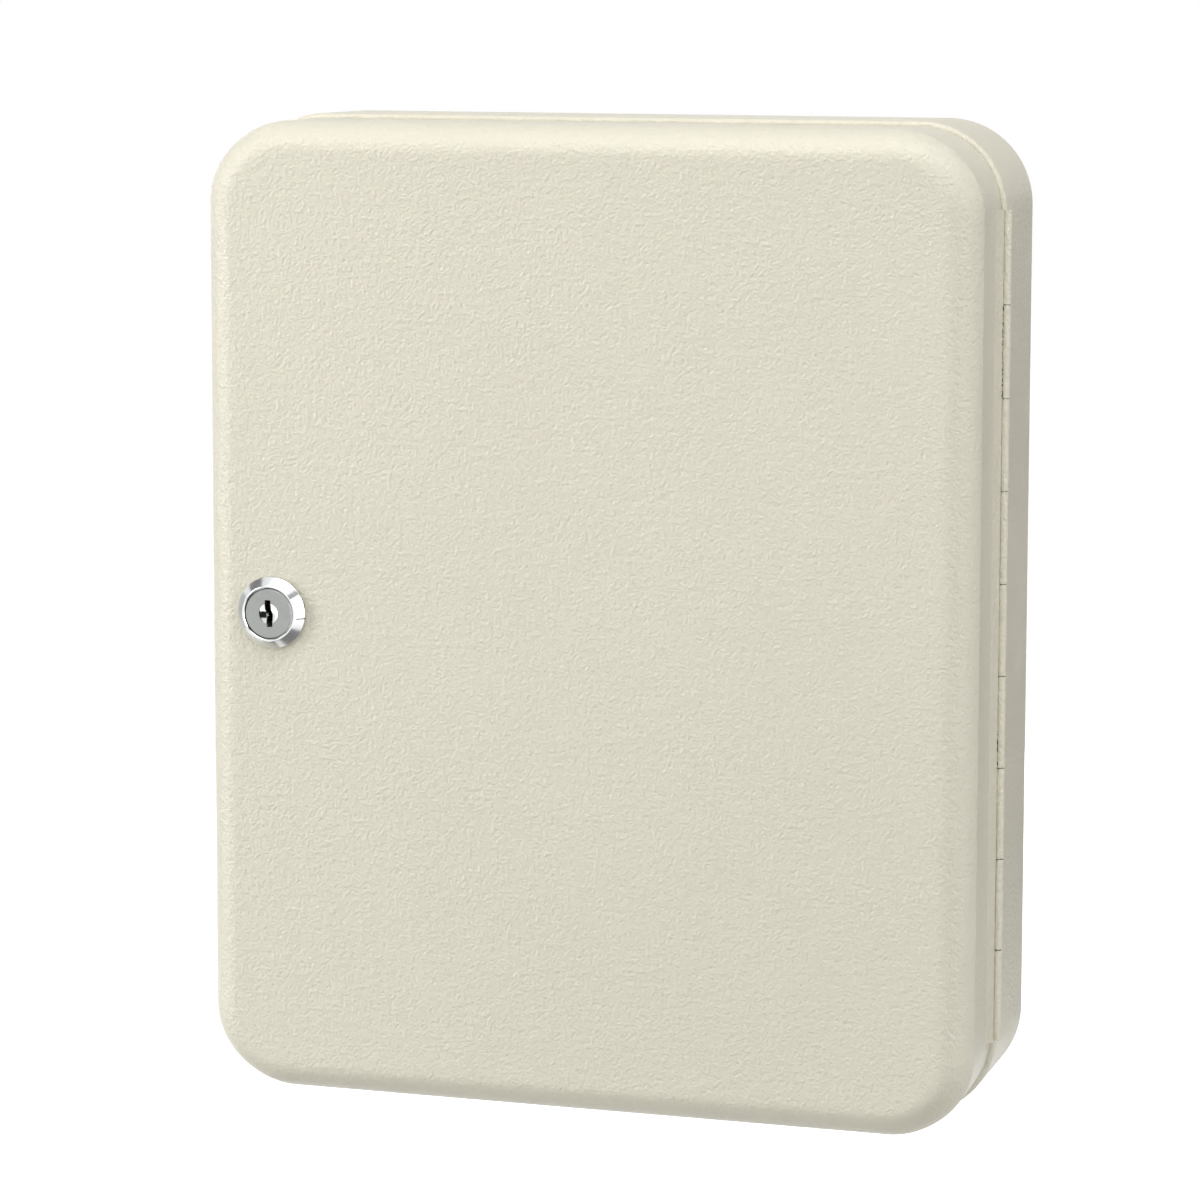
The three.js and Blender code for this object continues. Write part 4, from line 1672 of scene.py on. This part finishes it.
@dataclass
class HookPanel:
    """The bars on one panel, with a number strip in front of each."""

    prefix: str
    nodes: str
    body: str
    back: float
    heights: tuple[float, ...]
    first_number: int
    turned_round: bool = False
    strip_width: float = 190.0
    strip_height: float = 10.0
    strip_thickness: float = 0.5
    strip_rise: float = 3.0
    strip_gap: float = 0.3
    strip_corner: float = 1.0
    strip_edge: float = 0.08
    figure_size: float = 6.75
    figure_steps: int = 4
    ink_rise: float = 0.03

    def place(self, height: float) -> Matrix:
        """The matrix that puts a bar's pieces on the panel, in metres."""
        turn = Matrix.Rotation(math.pi if self.turned_round else 0.0, 4, "Z")
        return Matrix.Translation((0, self.back * MM, height * MM)) @ turn

    def figures(self, bar: HookBar, number: int, ink: bpy.types.Material) -> bpy.types.Object:
        """The numbers of one strip as flat raised ink, before they are placed.

        Args:
            bar: The bar, for the hooks' places.
            number: The first number.
            ink: The material.

        Returns:
            A mesh object.
        """
        front = -(bar.thickness + self.strip_gap + self.strip_thickness)
        made = []
        for i, x in enumerate(bar.hook_places()):
            curve = bpy.data.curves.new("figures", "FONT")
            curve.body, curve.align_x, curve.align_y = str(number + i), "CENTER", "CENTER"
            curve.size, curve.extrude = self.figure_size * MM, self.ink_rise * MM
            curve.resolution_u = self.figure_steps
            text = link_object("figures", curve)
            graph = bpy.context.evaluated_depsgraph_get()
            mesh = bpy.data.meshes.new_from_object(text.evaluated_get(graph))
            place = Matrix.Translation((x * MM, front * MM, self.strip_rise * MM))
            mesh.transform(place @ Matrix.Rotation(QUARTER, 4, "X"))
            bpy.data.objects.remove(text)
            made.append(link_object("figures", mesh))
        made[0].data.materials.append(ink)
        return tidy_mesh(join_objects(made[0], made[1:]))

    def build(self, bar: HookBar, row: ShapeTree, palette: Palette) -> None:
        """Builds the bars, strips and numbers of the panel.

        Args:
            bar: The bar's sizes.
            row: The tree that repeats a mesh in a row.
            palette: The finishes.
        """
        pattern = bar.plain(row, palette.ivory)
        low = (-self.strip_width / 2, self.strip_rise - self.strip_height / 2)
        high = (self.strip_width / 2, self.strip_rise + self.strip_height / 2)
        front = -(bar.thickness + self.strip_gap + self.strip_thickness)
        outline = round_rectangle(low, high, self.strip_corner, steps=5)
        card = make_object("strip", prism(outline, front, front + self.strip_thickness))
        soften(card, self.strip_edge)
        shade(card)
        inks = []
        for i, height in enumerate(self.heights):
            place = self.place(height)
            for source, name, finish, slot, node in (
                (pattern, "bar", palette.ivory, "ivory_paint", "hook_bar"),
                (card, "strip", palette.card, "label_card", "label_strip"),
            ):
                copy = link_object(f"{self.prefix}_{name}_{i + 1}", source.data.copy())
                copy.data.transform(place)
                settle(copy, self.body, finish, (f"{self.nodes}_{node}_{i + 1}",))
            figures = self.figures(bar, self.first_number + i * bar.hooks, palette.ink)
            figures.data.transform(place)
            inks.append(figures)
        numbers = join_objects(inks[0], inks[1:])
        numbers.name = f"{self.prefix}_numbers"
        settle(numbers, self.body, palette.ink)
        for source in (pattern, card):
            bpy.data.meshes.remove(source.data)


# Cam lock

@dataclass
class CamLock:
    """The cam lock, in its own frame: Y = 0 on the door's front face, the axis along Y."""

    x: float = -97.7
    front: float = -80.0
    bezel_diameter: float = 22.0
    bezel_front_diameter: float = 17.2
    bezel_height: float = 3.2
    bezel_edge: float = 0.5
    bezel_rim: Point2 = (0.15, 0.08)
    bezel_foot: Point2 = (0.3, 0.12)
    bezel_under: float = 0.1
    housing_edge: float = 0.2
    index_z: float = -1.3
    index_half: Point3 = (1.6, 0.5, 0.17)
    index_depth: float = 0.25
    seat_gap: float = 0.3
    slide_gap: float = 0.2
    barrel_diameter: float = 18.0
    barrel_flats: float = 16.4
    barrel_length: float = 25.0
    flats_from: float = 0.2
    thread_pitch: float = 1.0
    thread_depth: float = 0.5
    thread_half: float = 0.42
    thread_root: float = 0.05
    thread_start: float = 2.2
    thread_ends: float = 3.0
    thread_rise: float = 0.02
    thread_steps: int = 48
    nut_front: float = 1.3
    nut_flats: float = 23.0
    nut_thickness: float = 4.0
    nut_chamfer: Point2 = (0.2, 0.9)
    nut_countersink: Point2 = (1.6, 0.6)
    nut_edge: float = 0.12
    head_diameter: float = 15.4
    head_depth: float = 3.4
    face_y: float = -3.0
    shaft_diameter: float = 11.0
    head_edge: float = 0.35
    dish_diameter: float = 6.1
    dish_depth: float = 0.6
    dish_rim: float = 0.08
    keyway_depth: float = 22.0
    keyway_lead: float = 1.3
    keyway_outline: tuple[Point2, ...] = (
        (-1.02, 4.1), (-1.02, 1.2), (-0.35, 0.2), (-0.16, -0.9), (-0.16, -4.0), (1.28, -4.0),
        (1.28, -0.2), (0.68, 1.1), (0.68, 4.1),
    )
    keyway_lip: tuple[Point2, ...] = ((-1.12, 4.2), (-1.45, 1.2), (-1.2, 0.0), (-1.0, -0.9), (-0.5, -4.12))
    tail_half: float = 3.0
    tail_front: float = 25.3
    tail_back: float = 27.4
    cam_front: float = 25.6
    cam_thickness: float = 2.0
    cam_half_width: float = 5.5
    cam_reach: float = 19.0
    cam_crank: float = 6.99
    cam_latch: float = 39.5
    cam_bend: float = 2.0
    cam_corner: float = 3.0
    cam_hole_corner: float = 0.2
    cam_edge: float = 0.25
    washer_front: float = 27.9
    washer_thickness: float = 1.0
    washer_diameter: float = 9.4
    washer_edge: float = 0.12
    screw_seat: float = 29.2
    screw_length: float = 9.0
    screw_diameter: float = 4.0
    screw_head_diameter: float = 7.6
    screw_head_height: float = 2.6
    screw_head_radius: float = 1.2
    screw_head_sweep: float = math.radians(76.5)
    screw_head_under: float = 0.1
    screw_point: float = 0.4
    screw_edge: float = 0.06
    screw_hole: Point2 = (17.4, 30.0)
    slot: Point3 = (4.4, 1.1, 1.4)
    slot_taper: float = 0.55
    wafers: int = 4
    wafer_first: float = 4.0
    wafer_pitch: float = 3.6
    wafer_thickness: float = 1.0
    wafer_half_slot: float = 2.7
    lug_slot: tuple[Point2, Point2] = ((0.0, -2.4), (4.1, 2.6))
    groove_reach: float = 6.5
    spring_wire: float = 0.2
    spring_diameter: float = 1.0
    spring_turns: float = 4.0
    spring_low: float = -2.3
    spring_length: float = 2.8
    spring_x: float = 3.2
    spring_steps: int = 20
    steps: int = 96

    def placed(self, name: str, shape: Shape) -> bpy.types.Object:
        """An object for a shape of the lock, in its place on the door."""
        return make_object(name, shape.moved(self.x, self.front, 0))

    def cut(self, item: bpy.types.Object, shape: Shape) -> None:
        """Cuts a shape of the lock's frame from a placed object."""
        merge(item, shape.moved(self.x, self.front, 0), Merge.CUT)

    def finish(self, item: bpy.types.Object, body: str, material: bpy.types.Material, slot: str, node: str,
               edge: float = 0.0) -> None:
        """Softens, shades and settles one piece of the lock.

        Args:
            item: The placed object.
            body: Body that it rides on.
            material: Its finish.
            slot: Not used.
            node: CAD node that it stands for.
            edge: Width of the rounding of its edges, or none.
        """
        if edge:
            soften(item, edge)
        shade(item, sharp=30.0)
        settle(item, body, material, (node,))

    def housing(self, spiral: ShapeTree, palette: Palette) -> None:
        """The chromed housing: bevelled bezel with its index line, and the threaded barrel.

        Args:
            spiral: The tree that sweeps a profile up a spiral.
            palette: The finishes.
        """
        head = self.head_diameter / 2 + self.slide_gap
        bore = self.shaft_diameter / 2 + self.slide_gap
        root = self.barrel_diameter / 2 - self.thread_depth
        rim, base, edge = self.bezel_front_diameter / 2, self.bezel_diameter / 2, self.housing_edge
        top, low, end, under = -self.bezel_height, -self.seat_gap, self.barrel_length, self.bezel_under
        shoulder = self.face_y + self.head_depth + self.slide_gap
        (rim_width, rim_height), (foot, lift) = self.bezel_rim, self.bezel_foot
        profile = [
            (head, top + edge), (head + edge, top), (rim - rim_width, top), (rim, top + rim_height),
            *arc((base - foot, low - self.bezel_edge + lift), foot, -QUARTER / 2, 0, steps=4),
            (base, low - under), (base - under, low), (root, low), (root, end - edge), (root - edge, end),
            (bore, end), (bore, shoulder), (head, shoulder),
        ]
        item = self.placed("lock_case", turned(profile, self.steps, closed=True))
        half, far = self.barrel_flats / 2, self.barrel_diameter
        for side in (-1, 1):
            low_z, high_z = sorted((side * half, side * far))
            self.cut(item, block((-far, self.flats_from, low_z), (far, end + PAST, high_z)))
        reach, wide = self.groove_reach, self.wafer_half_slot
        for across, up in ((wide, reach), (reach, wide)):
            self.cut(item, block((-across, shoulder, -up), (across, self.keyway_depth, up)))
        slope = Matrix.Translation(((rim + base) / 2, (top + low - self.bezel_edge) / 2, self.index_z))
        slope = slope @ Matrix.Rotation(QUARTER / 2, 4, "Z")
        long, clear, wide = self.index_half
        self.cut(item, block((-long, -clear, -wide), (long, self.index_depth, wide)).changed(slope))
        shade(item, sharp=25.0)
        pitch, rise = self.thread_pitch, self.thread_pitch * self.thread_half
        ridge = profile_object([
            (self.thread_depth, 0), (-self.thread_root, rise), (-self.thread_root, -rise),
        ], closed=True)
        ridge.name = "lock_thread"
        turns = math.floor((end - self.thread_ends) / pitch)
        spiral.grow(ridge, {
            "Turns": float(turns), "Steps per Turn": self.thread_steps, "Radius": root * MM,
            "Climb": turns * pitch * MM, "Half Flat": (half - self.thread_rise) * MM, "Finish": palette.zinc,
        })
        place = Matrix.Translation((self.x * MM, (self.front + self.thread_start) * MM, 0))
        ridge.data.transform(place @ Matrix.Rotation(-QUARTER, 4, "X"))
        shade(tidy_mesh(ridge), sharp=25.0)
        settle(join_objects(item, [ridge]), "door", palette.chrome, ("lock_housing",))

    def keyway_funnel(self) -> Shape:
        """The sloped lip down the left side of the keyway's mouth.

        Returns:
            The cutter.
        """
        outline, deep = self.keyway_outline, self.face_y + self.keyway_lead
        rim = [*self.keyway_lip, *outline[len(self.keyway_lip):]]
        funnel = prism(rim, self.face_y - PAST / 10, deep)
        funnel.points[len(rim):] = [(x, deep, z) for x, z in outline]
        return funnel

    def plug(self, palette: Palette) -> None:
        """The turning plug: satin face with a polished dish, keyway, wafer slots and square tail.

        Args:
            palette: The finishes.
        """
        radius, head, edge = self.shaft_diameter / 2, self.head_diameter / 2, self.head_edge
        dish, depth, face = self.dish_diameter / 2, self.dish_depth, self.face_y
        bowl = (dish ** 2 + depth ** 2) / (2 * depth)
        lean = math.asin(dish / bowl)
        bottom = arc((0, face + depth - bowl), bowl, QUARTER, QUARTER - lean, steps=10)
        profile = [
            *bottom, (dish + self.dish_rim, face), (head - edge, face), (head, face + edge),
            (head, face + self.head_depth), (radius, face + self.head_depth),
            (radius, self.tail_front), (0, self.tail_front),
        ]
        item = self.placed("lock_core", turned(profile, self.steps))
        half, far = self.tail_half, self.head_diameter
        tail = block((-half, self.tail_front - 2 * PAST, -half), (half, self.tail_back, half))
        merge(item, tail.moved(self.x, self.front, 0), Merge.JOIN)
        self.cut(item, prism(self.keyway_outline, face - 2 * PAST, self.keyway_depth))
        self.cut(item, self.keyway_funnel())
        hole, (bottom, mouth) = self.screw_diameter / 2 + self.slide_gap, self.screw_hole
        self.cut(item, turned([(0, bottom), (hole, bottom), (hole, mouth), (0, mouth)], steps=32))
        (left, low), (right, high) = self.lug_slot
        for i in range(self.wafers):
            front = self.wafer_first + i * self.wafer_pitch - self.slide_gap
            back = front + self.wafer_thickness + 2 * self.slide_gap
            slot = self.wafer_half_slot
            self.cut(item, block((-slot, front, -far), (slot, back, far)))
            self.cut(item, block((left, front, low), (right, back, high)))
        self.finish(item, "plug", palette.nickel, "satin_nickel", "lock_plug")

    def nut(self, palette: Palette) -> None:
        """The hexagon nut that holds the housing behind the door.

        Args:
            palette: The finishes.
        """
        front, back = self.nut_front, self.nut_front + self.nut_thickness
        corner, (inset, chamfer) = self.nut_flats / math.sqrt(3), self.nut_chamfer
        hexagon = arc((0, 0), corner, 0, 4 * QUARTER, steps=6)[:6]
        item = self.placed("lock_ring_nut", prism(hexagon, front, back))
        flat, wide = self.nut_flats / 2 - inset, corner + PAST / 10
        form = [(0, front), (flat, front), (wide, front + chamfer),
                (wide, back - chamfer), (flat, back), (0, back)]
        merge(item, turned(form, self.steps).moved(self.x, self.front, 0), Merge.MEET)
        hole, (flare, deep) = self.barrel_diameter / 2 + self.slide_gap, self.nut_countersink
        bore = [(0, front - PAST), (hole + flare, front - PAST), (hole, front + deep), (hole, back - deep),
                (hole + flare, back + PAST), (0, back + PAST)]
        self.cut(item, turned(bore, self.steps))
        self.finish(item, "door", palette.zinc, "zinc_steel", "lock_nut", self.nut_edge)

    def cam(self, palette: Palette) -> None:
        """The cranked cam, its washer and its screw.

        Args:
            palette: The finishes.
        """
        middle = self.cam_front + self.cam_thickness / 2
        half, bend = self.cam_half_width, self.cam_bend
        runs = (
            Run(half + self.cam_crank - bend), Run(bend * QUARTER, QUARTER),
            Run(self.cam_latch - middle - 2 * bend), Run(bend * QUARTER, -QUARTER),
            Run(self.cam_reach - self.cam_crank - bend),
        )
        end, corner = sum(run.length for run in runs), self.cam_corner
        outline = [
            *arc((0, half), half, 2 * QUARTER, 4 * QUARTER, steps=28),
            *arc((half - corner, end - corner), corner, 0, QUARTER, steps=8),
            *arc((corner - half, end - corner), corner, QUARTER, 2 * QUARTER, steps=8),
        ]
        hole = self.tail_half + self.slide_gap
        square = round_rectangle((-hole, half - hole), (hole, half + hole), self.cam_hole_corner, steps=2)
        sheet = BentSheet((middle, half), -QUARTER, runs, self.cam_thickness)
        item = self.placed("lock_latch", sheet.solid(outline, [square]))
        self.finish(item, "plug", palette.zinc, "zinc_steel", "lock_cam", self.cam_edge)
        self.washer(palette)
        self.screw(palette)

    def washer(self, palette: Palette) -> None:
        """The washer under the screw's head.

        Args:
            palette: The finishes.
        """
        inner, outer = self.screw_diameter / 2 + self.slide_gap, self.washer_diameter / 2
        front, edge = self.washer_front, self.washer_edge
        back = front + self.washer_thickness
        ring = [(inner, front), (outer - edge, front), (outer, front + edge), (outer, back - edge),
                (outer - edge, back), (inner + edge, back), (inner, back - edge)]
        item = self.placed("latch_washer", turned(ring, steps=64, closed=True))
        self.finish(item, "plug", palette.zinc, "zinc_steel", "cam_washer")

    def screw(self, palette: Palette) -> None:
        """The pan-head screw with its cross slot.

        Args:
            palette: The finishes.
        """
        head, rod, seat = self.screw_head_diameter / 2, self.screw_diameter / 2, self.screw_seat
        top, end = seat + self.screw_head_height, seat - self.screw_length
        point, dome, under = self.screw_point, self.screw_head_radius, self.screw_head_under
        long, wide, deep = self.slot
        profile = [
            (0, end), (rod - point, end), (rod, end + point), (rod, seat), (head - under, seat),
            (head, seat + under),
            *arc((head - dome, top - dome), dome, 0, self.screw_head_sweep, steps=8), (0, top),
        ]
        item = self.placed("latch_screw", turned(profile, steps=64))
        for across, up in ((long / 2, wide / 2), (wide / 2, long / 2)):
            self.cut(item, tapered_slot(across, up, top - deep, top, self.slot_taper))
        self.finish(item, "plug", palette.zinc, "zinc_steel", "cam_screw", self.screw_edge)

    def springs(self, spiral: ShapeTree, palette: Palette) -> None:
        """The small coil under each wafer's lug, stretched between the plug and the wafer.

        Args:
            spiral: The tree that sweeps a profile up a spiral.
            palette: The finishes.
        """
        wire = self.spring_wire / 2
        for i in range(self.wafers):
            item = profile_object(arc((0, 0), wire, 0, 4 * QUARTER, steps=8)[:-1], closed=True)
            item.name = f"wafer_coil_{i + 1}"
            climb = self.spring_length - self.spring_wire
            spiral.grow(item, {
                "Turns": self.spring_turns, "Steps per Turn": self.spring_steps,
                "Radius": (self.spring_diameter / 2 - wire) * MM, "Climb": climb * MM,
                "Half Flat": self.spring_diameter * MM, "Finish": palette.spring,
            })
            y = self.front + self.wafer_first + i * self.wafer_pitch + self.wafer_thickness / 2
            low = Vector((self.x + self.spring_x, y, self.spring_low)) * MM
            item.data.transform(Matrix.Translation(low + Vector((0, 0, wire * MM))))
            shade(tidy_mesh(item))
            item.data.materials.clear()
            item.data.materials.append(palette.spring)
            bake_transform(item)
            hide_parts(f"wafer_spring_{i + 1}")
            log.info("%s: stretches with wafer_%d", item.name, i + 1)

    def build(self, spiral: ShapeTree, palette: Palette) -> None:
        """Builds every piece of the lock.

        Args:
            spiral: The tree that sweeps a profile up a spiral.
            palette: The finishes.
        """
        self.housing(spiral, palette)
        self.plug(palette)
        self.nut(palette)
        self.cam(palette)
        self.springs(spiral, palette)
        for i in range(self.wafers):
            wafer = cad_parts[f"wafer_{i + 1}"]
            wafer.data.materials.clear()
            wafer.data.materials.append(palette.brass)
            log.info("%s: carried over from the CAD model", wafer.name)


def tapered_slot(across: float, up: float, floor: float, top: float, share: float) -> Shape:
    """A slot that narrows to its floor, as a cross recess does.

    Args:
        across: Half of its width along X at the top.
        up: Half of its width along Z at the top.
        floor: Y of its floor.
        top: Y of the surface that it is cut in.
        share: Width at the floor as a share of the width at the top.

    Returns:
        The cutter.
    """
    points = []
    for y, size in ((floor, share), (top + PAST / 2, 1.0)):
        points += [(sx * across * size, y, sz * up * size) for sx, sz in ((-1, -1), (1, -1), (1, 1), (-1, 1))]
    sides = [(i, (i + 1) % 4, 4 + (i + 1) % 4, 4 + i) for i in range(4)]
    return Shape(points, [(0, 1, 2, 3), (4, 5, 6, 7), *sides])


# Studio

@dataclass(frozen=True)
class SoftLamp:
    """A soft lamp that is aimed at the cabinet, with its width and height."""

    name: str
    place: Point3
    size: Point2
    level: float

    def build(self, target: Vector) -> None:
        """Adds the lamp. A level of 1 shows a colour that faces it as it is written.

        Args:
            target: The place that it is aimed at.
        """
        data = bpy.data.lights.new(self.name, "AREA")
        place = Vector(self.place)
        distance = (place - target).length
        data.shape = "RECTANGLE"
        data.size, data.size_y = self.size
        data.energy = self.level * math.pi ** 2 * distance ** 2
        lamp = link_object(self.name, data)
        lamp.location = place
        lamp.rotation_mode = "QUATERNION"
        lamp.rotation_quaternion = (place - target).to_track_quat("Z", "Y")


def flat_panel(name: str, size: Point2, height: float) -> bpy.types.Object:
    """A level rectangle in metres, around the Z axis.

    Args:
        name: Name of the object.
        size: Its width and depth.
        height: Its place on the axis.

    Returns:
        The new object.
    """
    mesh = bpy.data.meshes.new(name)
    corners = [(x * size[0] / 2, y * size[1] / 2, height) for x, y in ((-1, -1), (1, -1), (1, 1), (-1, 1))]
    mesh.from_pydata(corners, [], [(0, 1, 2, 3)])
    return link_object(name, mesh)


@dataclass(frozen=True)
class MirrorCard:
    """A grey card that only mirrored rays see, which gives polished metal something to show."""

    place: Point3
    size: Point2
    tone: float

    def build(self, target: Vector) -> None:
        """Adds the card, turned to the cabinet.

        Args:
            target: The place that it faces.
        """
        maker = SurfaceMaker("grey_card", {
            "Base Color": (0, 0, 0, 1), "Roughness": 1.0, "Specular IOR Level": 0.0,
            "Emission Color": (1, 1, 1, 1), "Emission Strength": self.tone,
        })
        card = flat_panel("grey_card", self.size, 0)
        card.location = self.place
        card.rotation_mode = "QUATERNION"
        card.rotation_quaternion = (target - Vector(self.place)).to_track_quat("Z", "Y")
        card.visible_camera = card.visible_diffuse = card.visible_shadow = False
        card.data.materials.append(maker.material)


@dataclass
class Studio:
    """White surroundings, a pale floor, soft lamps and the camera."""

    ambient: float = 0.105
    floor_height: float = -0.42
    floor_size: float = 14.0
    floor_colour: float = 0.68
    floor_glow: Point2 = (0.45, 0.98)
    floor_glow_reach: Point2 = (0.5, 1.2)
    target: Point3 = (0.0, -0.04, 0.0)
    lamps: tuple[SoftLamp, ...] = (
        SoftLamp("top_lamp", (0.25, -0.57, 1.41), (2.4, 0.6), 0.94),
        SoftLamp("high_front_lamp", (0.1, -1.54, 1.32), (2.0, 0.7), 0.08),
        SoftLamp("left_lamp", (-1.76, -0.94, 0.30), (0.5, 2.0), 0.82),
        SoftLamp("right_lamp", (1.72, -1.00, 0.20), (0.4, 2.0), 0.40),
        SoftLamp("back_lamp", (-0.70, 1.80, 0.20), (1.0, 1.2), 0.42),
    )
    cards: tuple[MirrorCard, ...] = (
        MirrorCard((0.35, 1.10, -0.33), (3.2, 0.95), 0.20),
        MirrorCard((0.0, 1.15, 0.53), (3.2, 0.82), 0.62),
        MirrorCard((-0.47, -0.06, 0.32), (0.24, 0.22), 0.20),
        MirrorCard((0.27, -0.24, 0.31), (0.30, 0.13), 0.34),
        MirrorCard((0.06, -0.16, -0.36), (0.50, 0.24), 0.24),
        MirrorCard((-0.20, -0.05, -0.40), (0.16, 0.24), 0.10),
        MirrorCard((-0.57, 0.10, -0.06), (0.30, 0.40), 0.55),
        MirrorCard((0.04, -1.35, -0.07), (0.80, 0.65), 0.02),
    )
    azimuth: float = 17.33
    elevation: float = 6.97
    roll: float = 0.12
    camera_place: Point3 = (0.38593, -1.28806, 0.19670)
    focal_length: float = 4310.31
    middle: Point2 = (606.93, 488.76)
    image: float = 1200.0
    sensor: float = 36.0
    clip: Point2 = (0.01, 100.0)

    def seen_white(self, tree: NodeMaker) -> Socket:
        """1 for rays that should meet the white background.

        Args:
            tree: The node maker of the world or the material.

        Returns:
            The value.
        """
        rays = tree.node("ShaderNodeLightPath").outputs
        either = tree.math("MAXIMUM", rays["Is Camera Ray"], rays["Is Glossy Ray"])
        return tree.math("MAXIMUM", either, rays["Is Transmission Ray"])

    def world(self) -> None:
        """White where it is seen or mirrored, and an even ambient light elsewhere."""
        world = bpy.data.worlds.new("surroundings")
        world.use_nodes = True
        bpy.context.scene.world = world
        tree = NodeMaker(world.node_tree)
        back = next(n for n in world.node_tree.nodes if n.type == "BACKGROUND")
        back.inputs["Color"].default_value = (1, 1, 1, 1)
        level = tree.node("ShaderNodeMapRange", {
            "Value": self.seen_white(tree), "To Min": self.ambient, "To Max": 1.0,
        }).outputs[0]
        world.node_tree.links.new(level, back.inputs["Strength"])

    def floor(self) -> None:
        """A plain pale floor that glows a little where it is seen, so that it reads white."""
        floor = flat_panel("floor", (self.floor_size, self.floor_size), self.floor_height)
        tone = self.floor_colour
        maker = SurfaceMaker("pale_floor", {
            "Base Color": (tone, tone, tone, 1), "Roughness": 1.0, "Specular IOR Level": 0.0,
            "Emission Color": (1, 1, 1, 1),
        })
        away = maker.node("ShaderNodeVectorMath", {0: maker.place}, operation="LENGTH").outputs["Value"]
        glow = maker.node("ShaderNodeMapRange", {
            "Value": away, "From Min": self.floor_glow_reach[0], "From Max": self.floor_glow_reach[1],
            "To Min": self.floor_glow[0], "To Max": self.floor_glow[1],
        }).outputs[0]
        maker.give("Emission Strength", maker.math("MULTIPLY", self.seen_white(maker), glow))
        floor.data.materials.append(maker.material)

    def camera(self) -> None:
        """The camera, a little above the cabinet and on its hinge side."""
        a, e, r = (math.radians(v) for v in (self.azimuth, self.elevation, self.roll))
        back = Vector((math.sin(a) * math.cos(e), -math.cos(a) * math.cos(e), math.sin(e)))
        level = Vector((math.cos(a), math.sin(a), 0))
        above = back.cross(level)
        right = math.cos(r) * level + math.sin(r) * above
        up = math.cos(r) * above - math.sin(r) * level
        data = bpy.data.cameras.new("camera")
        data.sensor_width = self.sensor
        data.lens = self.focal_length / self.image * self.sensor
        data.shift_x = (self.image / 2 - self.middle[0]) / self.image
        data.shift_y = (self.middle[1] - self.image / 2) / self.image
        data.clip_start, data.clip_end = self.clip
        camera = link_object("camera", data)
        turn = Matrix((right, up, back)).transposed().to_4x4()
        camera.matrix_world = Matrix.Translation(self.camera_place) @ turn
        bpy.context.scene.camera = camera

    def build(self) -> None:
        """Sets the scene round the cabinet."""
        bpy.context.scene.view_settings.view_transform = "Standard"
        self.world()
        self.floor()
        for card in self.cards:
            card.build(Vector(self.target))
        for lamp in self.lamps:
            lamp.build(Vector(self.target))
        self.camera()


def main() -> None:
    """Builds the cabinet piece by piece."""
    logging.basicConfig(level=logging.INFO, format="%(name)s: %(message)s")
    lock = CamLock()
    palette = Palette.make((lock.x, 0.0))
    sweep, spiral, row = edge_sweep_tree(), spiral_sweep_tree(), row_tree()
    Casing().build(sweep, palette.ivory)
    Door().build(sweep, palette.ivory)
    PianoHinge().build(palette)
    for panel in (
        HookPanel(
            "casing", "back", "cabinet_body", back=-1.3, heights=(110.0, 66.0, 22.0, -22.0, -66.0, -110.0),
            first_number=1,
        ),
        HookPanel(
            "door", "door", "door", back=-78.7, heights=(93.0, 31.0, -31.0, -93.0), first_number=43,
            turned_round=True,
        ),
    ):
        panel.build(HookBar(), row, palette)
    lock.build(spiral, palette)
    Studio().build()


if __name__ == "__main__":
    main()
